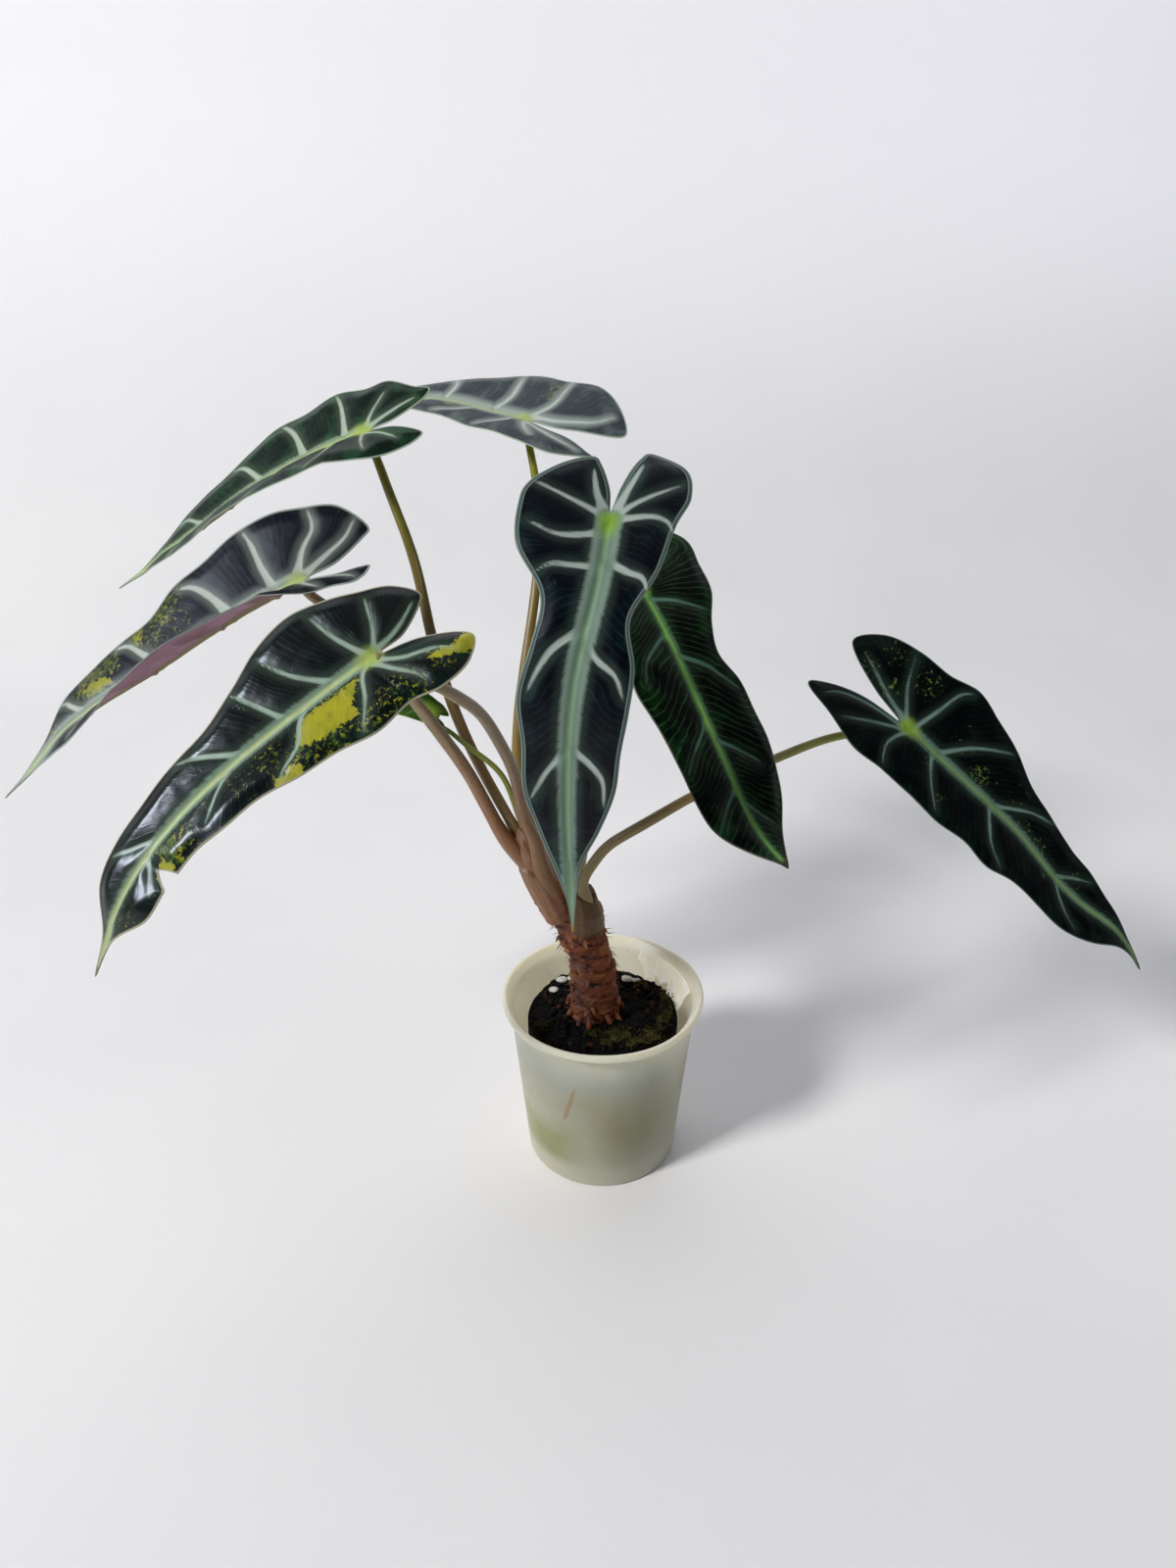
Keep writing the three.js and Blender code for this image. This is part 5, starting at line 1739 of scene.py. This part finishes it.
def front_left_blade() -> Blade:
    """The blade at the front left, the most variegated one, with a tear in its right margin."""
    return Blade(
        "blade_front_left", "leaf_front_left",
        ((-64, -55, 226), (-82, -65, 215), (-104, -78, 200), (-123, -89, 181), (-133, -95, 164), (-138, -98, 151)),
        (-0.3, -0.55, 0.78), 5,
        Half(
            Lobe(21.5, 9, 0.5, 15, 18.5), (22, 25, 23, 18, 14, 13, 11.5, 11, 9, 2), (24, 25, 20, 14), (-6, -14, -8),
            ((2.4, -2, 1, -8, 2, -13, 4, -18, 7), (2.0, -2, 2, -5, 7, -8, 15), (2.6, 1, 1, 5, 11, 7, 21),
             (2.6, 13, 1, 20, 9, 25, 19), (2.4, 29, 1, 33, 10, 36, 17), (2.4, 44, 1, 52, 8, 58, 12),
             (1.8, 75, 1, 81, 5, 86, 9)),
        ),
        Half(
            Lobe(26, 12, 2.5, 18.5, 20.5), (18.5, 20, 17.5, 16.5, 13.5, 13, 11, 10.5, 10, 1.8), (-5, -5, -1, -4),
            (0, 0, 0),
            ((2.6, 0, 1, -6, 6, -14, 9, -19, 12), (2.4, 1, 2, -2, 7, -6, 13, -7, 17), (2.4, 3, 1, 6, 4, 9, 10, 15, 18),
             (2.6, 24, 1, 27, 4, 31, 9, 40, 13), (2.0, 50, 1, 54, 3, 62, 8), (1.6, 80, 1, 83, 4, 86, 7)),
            patches=((6.5, 3, 16, 3, 25, 3, 30, 6.5, 31, 9.5, 25, 12.5, 18, 13, 12.5, 13, 12, 9),
                     (35, 12.5, 42, 13, 44, 17, 34, 17, 33, 14),
                     (-11, 11.5, -16, 10, -20, 11.5, -24, 9, -27, 11, -24, 15.5, -20, 15.5, -14, 13.5),
                     (77, 4, 79.5, 5, 79, 9, 76, 9)),
            specks=((-3, 14, 8, 0.44), (4, 15, 7, 0.46), (12, 16, 6, 0.48), (-14, 13, 7, 0.44), (22, 15, 7, 0.5),
                    (30, 12, 7, 0.5),
                    (38, 8, 8, 0.42), (48, 6, 8, 0.34), (60, 5, 6, 0.3), (68, 6, 6, 0.5), (74, 6, 6, 0.62),
                    (84, 8, 5, 0.36),
                    (98, 4, 8, 0.4), (104, 2, 5, 0.36)),
            tear=(80.5, 4.6, 2.8),
        ),
        BladeFinish(
            lamina="07211d", deep="020709", vein="98ae9e", band="7f9a84", core="c6d192", junction="a9bd5c",
            rim="a8a58c",
            halo=0.12, gloss=0.29, minor=0.03, patch="a8a428", speck="4a6420", tip="7d8560", shine=0.32, fade=0.2,
        ),
        midrib=(2.0, 1.8, 1.0), pad=0.5, droop=1.5, seed=5,
    )


def front_blade() -> Blade:
    """The blade that hangs down in front, with a broad pale margin."""
    return Blade(
        "blade_front", "leaf_front",
        ((0, -50, 262), (-3, -62, 249), (-8, -72, 231), (-11, -75, 203), (-11, -73, 173), (-10, -70, 145)),
        (0.05, -0.75, 0.65), 10,
        Half(
            Lobe(20, 7, 1, 15, 22), (24, 22.5, 13.5, 13, 14.5, 12.5, 12, 8.5, 4.5, 1.2), (6, 6, 0, 3), (0, 0, 0),
            ((4.4, -3, 2, -8, 4.5, -15, 6), (2.6, -1, 2, -4, 11, -7, 21), (3.0, 4, 1, 7, 12, 5, 21),
             (3.0, 14, 1, 15, 8, 16, 13, 20, 17), (3.2, 31, 1, 37, 7, 43, 10, 49, 12), (3.0, 64, 1, 71, 6, 79, 10)),
        ),
        Half(
            Lobe(25, 9, 2, 18.5, 20.5), (17.5, 15, 10.5, 14.5, 15, 14, 13, 9, 3.5, 1.5), (8, 8, 3, 4), (0, 0, 0),
            ((4.0, -2, 1, -8, 3, -14, 5, -20, 7), (2.8, -2, 2, -7, 8, -13, 18), (2.8, 0, 1, -2, 10, -1, 15, 2, 17),
             (3.4, 12, 1, 14, 7, 15, 11, 18, 13), (3.2, 35, 1, 38, 5, 41, 10, 47, 13),
             (3.0, 63, 1, 67, 6, 72, 9.5, 80, 10)),
        ),
        BladeFinish(
            lamina="0a2024", deep="040710", vein="a3b0a9", band="667f70", core="7f9d78", junction="7fa832",
            rim="7a8882",
            rim_width=0.3, rim_band=1.0, margin="3f524c", halo=0.14, gloss=0.36, minor=0.06, tip="b9882e", side=0.25,
        ),
        midrib=(3.6, 2.7, 1.7), pad=0.5, droop=0.8, seed=6,
    )


def front_right_blade() -> Blade:
    """The blade behind the front one, in its shade, with fine curved veins and bright greens painted for the light
    that shines through it.
    """
    return Blade(
        "blade_front_right", "leaf_front_right",
        ((10, -5, 230), (19, -16, 216), (29, -27, 197), (39, -40, 178), (47, -49, 165), (54, -57, 160)),
        (0.5, -0.35, 0.8), 6,
        Half(
            Lobe(24, 7, 2.5, 14, 17), (17, 17, 18, 21, 19.5, 17.5, 17, 17, 15, 8), (0, 0, -8, -3), (0, 0, 0),
            ((2.2, -2, 1, -10, 4, -17, 7), (2.0, -1, 2, -4, 8, -6, 13), (2.0, 3, 1, 6, 8, 10, 14),
             (1.8, 18, 1, 24, 12, 30, 16),
             (1.8, 47, 1, 50, 3, 56, 10, 61, 15), (1.8, 70, 1, 75, 8, 80, 14)),
        ),
        Half(
            Lobe(26, 7, 2.5, 14, 24), (24, 23, 17.5, 15, 18.5, 19, 19.5, 18, 15, 7.5), (18, 18, 15, 9), (0, 0, 0),
            ((2.2, -2, 1, -12, 6, -20, 9), (2.0, -1, 1, -4, 10, -8, 18), (2.2, 6, 1, 9, 9, 16, 19),
             (2.2, 26, 1, 31, 8, 37, 13, 42, 17),
             (2.0, 54, 1, 59, 7, 65, 13), (1.6, 75, 1, 82, 6, 88, 10)),
        ),
        # The bright greens of the lamina, band and core are painted light, for the light that shines through this
        # blade in the front blade's shade.
        BladeFinish(
            lamina="0c3410", deep="020705", vein="56796a", band="52794f", core="82b456", junction="6a9c2e",
            rim="6f7268",
            rim_width=0.4, halo=0.1, gloss=0.4, minor=0.34, tip="3a3426", fade=0.35, side=0.2,
        ),
        midrib=(1.9, 1.7, 1.2), pad=0.6, droop=0.7, seed=7,
    )


def right_blade() -> Blade:
    """The blade held out at the far right, with faint yellow speckles."""
    return Blade(
        "blade_right", "leaf_right",
        ((97, -10, 184), (115, -14, 168), (137, -18, 148), (158, -23, 126), (175, -26, 113), (183, -28, 101)),
        (0.4, -0.65, 0.7), 6,
        Half(
            Lobe(34.5, 9.5, 1.5, 14.5, 20), (20, 19, 20, 18.5, 19.5, 15.5, 13.5, 13, 9.5, 3), (1, 1, 2, 3), (0, 0, 0),
            ((2.4, -1, 1, -14, 3, -24, 6, -29, 10), (1.6, -1, 2, -14, 10, -20, 14), (2.2, 1, 1, -2, 7, -3, 12, -1, 18),
             (2.2, 12, 1, 16, 9, 22, 17), (2.0, 39, 1, 45, 11, 53, 16), (1.8, 75, 1, 81, 6, 88, 10)),
            specks=((22, 13, 4, 0.34), (60, 8, 7, 0.2), (12, 4, 4, 0.3), (70, 3, 4, 0.35)),
        ),
        Half(
            Lobe(30, 13, 2.5, 19.5, 22), (22.5, 26, 24, 21, 15.5, 14, 13, 12, 7, 2), (22, 22, 11, 4), (0, 0, 0),
            ((2.4, -2, 1, -12, 4, -24, 10), (1.8, -2, 2, -8, 10, -12, 20), (2.2, 2, 1, 5, 12, 7, 20, 11, 24),
             (2.2, 14, 1, 20, 8, 26, 13, 36, 19), (2.0, 41, 1, 47, 5, 53, 9, 62, 13), (1.6, 74, 1, 81, 6, 88, 9)),
            specks=((-22, 7, 6, 0.38), (-12, 6, 5, 0.42), (-16, 16, 7, 0.34), (-3, 15, 7, 0.38), (30, 5, 6, 0.44),
                    (36, 9, 6, 0.3),
                    (54, 2, 5, 0.42), (62, 2, 5, 0.42), (80, 4, 6, 0.32), (18, 10, 8, 0.26), (46, 10, 8, 0.26)),
        ),
        BladeFinish(
            lamina="081a14", deep="020507", vein="6f8a80", band="5a7766", core="7c9a58", junction="8aa83a",
            rim="56695c",
            rim_width=0.35, halo=0.12, gloss=0.42, minor=0.05, speck="5f7a3a", patch="7d9146", tip="4a5a48",
        ),
        midrib=(2.0, 1.7, 1.0), pad=0.4, droop=0.7, seed=8,
    )


def young_blade() -> Blade:
    """The small young blade between the stalks."""
    small = Lobe(5.5, 2, 0.5, 3.2, 4.2)
    widths = (4.5, 5.2, 5.5, 5.5, 5, 4.5, 3.8, 2.8, 1.8, 0.7)
    veins = ((0.6, -0.5, 0.5, -2, 1.5, -4, 2.5), (0.6, 4, 0.3, 6, 2.5, 8, 4.5), (0.6, 12, 0.3, 14, 2.5, 17, 4.3),
             (0.5, 20, 0.3, 23, 2, 26, 3.4))
    return Blade(
        "blade_young", "leaf_young",
        ((-57.5, 5.5, 182), (-64, 5.5, 185.5), (-74, 5, 187.5), (-84, 4, 186.5), (-93, 3, 183)), (0.1, -0.65, 0.75), 0,
        Half(small, widths, (8, 8, 6, 4), (0, 0, 0), veins), Half(small, widths, (6, 6, 4, 2), (0, 0, 0), veins),
        BladeFinish(
            lamina="3f6a24", deep="28491c", vein="8faa62", band="6f9248", core="9fc05a", junction="a5cf4c",
            rim="8ea35c", rim_width=0.2,
            halo=0.2, gloss=0.34, minor=0.15, under="5e7a3a", tip="8ea35c",
        ),
        midrib=(0.7, 0.5, 0.3), rib=0.5, pad=0.15, droop=0.3, slot="young_blade", seed=9,
    )


def stalks(blades: dict[str, Blade]) -> list[Stalk]:
    """The eight petioles, each with its foot inside the wrap."""
    taupe = StalkFinish("8a6440", "806f54", "928260")
    olive = StalkFinish("9a8a4e", "7e7532", "86902c")
    return [
        Stalk("stalk_upper_left", "petiole_upper_left",
              ((-17, 2.5, 110, 3.4), (-21, 3, 121, 3.3), (-25.5, 3, 130, 2.8)),
              ((-29.5, 3, 136), (-33, 3, 143), (-42, 5.5, 161), (-50, 9, 180), (-58, 14, 211), (-62, 18, 231),
               (-69, 22, 252)),
              (1.9, 1.9, 1.7, 1.3), blades["upper_left"], StalkFinish("9a7f52", "5f4c26", "7c7a1c"), 1),
        Stalk("stalk_back", "petiole_back",
              ((-16.5, 2.5, 110, 3.4), (-20, 4, 121, 3.1), (-23, 5, 130, 2.6)),
              ((-24.5, 5, 138), (-27.5, 6.5, 146), (-30, 10, 164), (-24, 28, 211), (-24, 54, 251)),
              (1.7, 1.7, 1.6, 1.2), blades["back"], StalkFinish("8f7a48", "7a6526", "8d9412"), 2),
        Stalk("stalk_left", "petiole_left",
              ((-18, 1.0, 110, 4.0), (-23, 0.5, 121, 3.9), (-29, -0.5, 130, 3.3)),
              ((-34, -1, 137), (-38, -1, 145), (-45, -1, 161), (-53, -1, 175), (-62, -1, 189), (-77, 0, 209),
               (-89, 0, 222)),
              (2.3, 2.2, 2.0, 1.5), blades["left"], replace(taupe, foot="875c3a"), 3),
        Stalk("stalk_front_left", "petiole_front_left",
              ((-17, -3, 110, 4.0), (-20, -3.8, 121, 3.6), (-22.3, -4, 130, 2.9)),
              ((-23.5, -4, 137), (-26, -5, 144), (-29, -8, 162), (-34, -16, 182), (-38, -22, 193), (-43, -32, 203),
               (-52, -44, 214)),
              (2.1, 2.0, 1.9, 1.4), blades["front_left"], replace(taupe, middle="8a7860", top="9c8c64"), 4),
        Stalk("stalk_front", "petiole_front",
              ((-8.5, -2, 102, 3.4), (-10, -2, 108, 3.0)),
              ((-11.5, -1.5, 113), (-12.5, -2.5, 121), (-11, -6, 135), (-8, -13, 158), (-3, -25, 190), (0, -36, 222),
               (0, -44, 247)),
              (2.0, 1.9, 1.8, 1.4), blades["front"], olive, 5),
        Stalk("stalk_front_right", "petiole_front_right",
              ((-7, 1, 102, 3.4), (-7.5, 2, 108, 3.0)),
              ((-8, 2.5, 113), (-8.4, 2.8, 121), (-6.5, 4, 133), (-2, 5, 155), (4, 6, 185), (8, 3, 212)),
              (1.8, 1.7, 1.6, 1.3), blades["front_right"], olive, 6),
        Stalk("stalk_right", "petiole_right",
              ((-5.5, -3.5, 102, 3.4), (-5.8, -4, 108, 3.0)),
              ((-6.2, -4.4, 113), (-7.4, -5, 121), (-4, -5, 129), (0, -5, 135), (8, -6, 142), (17, -6, 148),
               (28, -7, 156), (57, -8, 172), (80, -9, 181)),
              (1.9, 1.8, 1.5, 1.2), blades["right"], StalkFinish("8f7d4a", "7d6c38", "8f9c36"), 7),
        Stalk("stalk_young", "petiole_young",
              ((-18, 0, 114, 2.2), (-22, 0.5, 124, 2.0), (-25, 1, 131, 1.6)),
              ((-27, 1, 138), (-29.5, 1.5, 145), (-35, 2.8, 160), (-46.8, 3, 171.5), (-52, 3.5, 176)),
              (1.0, 1.0, 0.9, 0.7), blades["young"], StalkFinish("8f8a4a", "6f7a26", "7c9440", "5a5a20"), 8),
    ]


def wraps() -> list[Wrap]:
    """The two groups of clasping petiole feet."""
    left = (
        Layer(((-15.4, 0, 105.5), (-17.4, -0.2, 110.5), (-19.8, -0.4, 116.5)), (6.0, 6.8, 6.2), (6.8, 7.4, 6.8),
              overlap=0.16, slant=0.12, turn=2.6, seed=51),
        Layer(((-16.4, 0, 108), (-18.8, -0.2, 114), (-22.3, -0.2, 122), (-26, -0.2, 130)), (5.0, 6.4, 6.2, 5.4),
              (6.4, 7.0, 6.6, 5.8), overlap=0.2, slant=0.3, turn=5.4, seed=52),
        Layer(((-17, 0.5, 108), (-21, 0.7, 119), (-25.5, 0.8, 129.5), (-31, 1.0, 141)), (4.8, 5.6, 5.2, 4.2),
              (5.8, 6.2, 5.8, 4.8), overlap=0.2, slant=0.28, turn=1.2, seed=53),
    )
    right = (
        Layer(((-7.0, -1.5, 101.5), (-7.1, -1.6, 105), (-7.8, -1.6, 109.5)), (6.8, 7.0, 6.2), (7.4, 7.4, 6.6),
              overlap=0.14, slant=0.2, turn=0.4, seed=61),
        Layer(((-7, -1.5, 103), (-7.2, -1.5, 107), (-8.2, -1.5, 112.5), (-9.2, -1.5, 119)), (6.2, 6.8, 5.8, 4.8),
              (7.0, 7.2, 6.4, 5.4), overlap=0.2, slant=0.35, turn=5.9, seed=62),
        Layer(((-7, -2, 104), (-6.8, -2.4, 108), (-6.8, -2.8, 113), (-6.8, -3.4, 119)), (5.8, 6.0, 4.8, 3.4),
              (6.0, 5.8, 4.6, 3.4), overlap=0.2, slant=0.3, turn=3.0, seed=63),
    )
    return [
        Wrap("wrap_left", "left_sheath", left, WrapFinish("8a5232", "866242", "8f6236", "a07a54")),
        Wrap("wrap_right", "right_sheath", right, WrapFinish("5d3f17", "644b1e", "704e1c", "7a5628")),
    ]


def trunk() -> Trunk:
    """The trunk between the compost and the wraps."""
    return Trunk(
        axis=((-2.5, 0, 50), (-3, 0, 62), (-3.2, 0, 74), (-4, 0, 84), (-6, 0, 92), (-8.6, 0, 99), (-10, 0, 106)),
        across=(9.4, 9.6, 9.2, 8.7, 8.2, 8.8, 8.8), deep=(9.2, 9.2, 9.0, 8.6, 8.2, 8.0, 7.6),
        buds=(
            Bud(99, 4.6, 3.2, 1.6, 1.6), Bud(108, 3.9, 1.6, 0.2, 2.2), Bud(90, 5.6, 3.0, 1.0, 0.8),
            Bud(80, 3.4, 3.4, 1.1, 0.9), Bud(74, 5.2, 3.0, 0.9, 0.9), Bud(86, 1.2, 3.2, 1.2, 0.9),
            Bud(70, 1.9, 3.0, 1.0, 0.8), Bud(95, 2.4, 3.0, 1.2, 1.0),
        ),
        ring_gap=5.6, foot_height=60.0, scales=300, roots_round=11, finish=BarkFinish(),
    )


def film() -> Film:
    """The white film on the back of the cup's inner wall, with a painted glow that keeps it bright in the leaves'
    shade.
    """
    finish = GroundFinish("e6e2d0", "f8f6ee", "d8d3bc", 300.0, rough=0.6, depth=0.25, glow=0.5, painted_light=0.34)
    return Film(start=4, end=62, top=68.0, drop=13.5, finish=finish)


def compost() -> Compost:
    """The compost with the grains and cushions where the photograph shows them."""
    return Compost(
        grit=(
            Mound(-15.5, 17.5, 2.2, 1.6), Mound(-11.8, 18.6, 1.8, 1.4), Mound(-18.6, 11.5, 1.9, 1.4),
            Mound(9.5, 18, 2.4, 1.7), Mound(13, 17.2, 1.7, 1.3),
        ),
        moss=(
            Mound(5.5, -15, 5.2, 2.2), Mound(-3, -14, 2.8, 1.6), Mound(18, -15.5, 3.6, 1.6), Mound(22.5, -6, 2.6, 1.4),
            Mound(23.5, 2, 2.8, 1.3), Mound(22, 10, 2.4, 1.3), Mound(14, 15, 2.6, 1.2), Mound(10.5, -20, 2.4, 1.2),
            Mound(-22, -9, 2.2, 1.0), Mound(20.5, -11, 2.2, 1.2), Mound(24.5, -2, 2.0, 1.1), Mound(23.5, 6, 2.0, 1.1),
            Mound(14, -18, 2.2, 1.1), Mound(0.5, -19, 2.0, 1.0),
        ),
    )


def main() -> None:
    """Builds the plant piece by piece in its studio."""
    logging.basicConfig(level=logging.INFO, format="%(name)s %(message)s")
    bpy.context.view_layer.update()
    studio = Studio()
    studio.camera()
    studio.sheet()
    studio.light()
    makers = (upper_left_blade, back_blade, left_blade, front_left_blade, front_blade, front_right_blade, right_blade,
              young_blade)
    blades = {blade.name.removeprefix("blade_"): blade for blade in (make() for make in makers)}
    for part in (*blades.values(), *stalks(blades), *wraps(), trunk()):
        part.build()
    cup = Cup()
    cup.build()
    film().build(cup)
    ground = compost()
    ground.plug()
    crumb_finish = GroundFinish("030202", "120c07", "15130a", 300.0)
    bark_finish = GroundFinish("1e0f09", "4c2a1a", "6a4431", 320.0)
    ground.scatter("crumbs", count=330, seed=7, sizes=(0.5, 1.9), finish=crumb_finish)
    ground.scatter("bark_bits", count=34, seed=8, sizes=(0.7, 1.8), finish=bark_finish, inner=8.5)
    ground.grains()
    ground.tufts()
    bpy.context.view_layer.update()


if __name__ == "__main__":
    main()
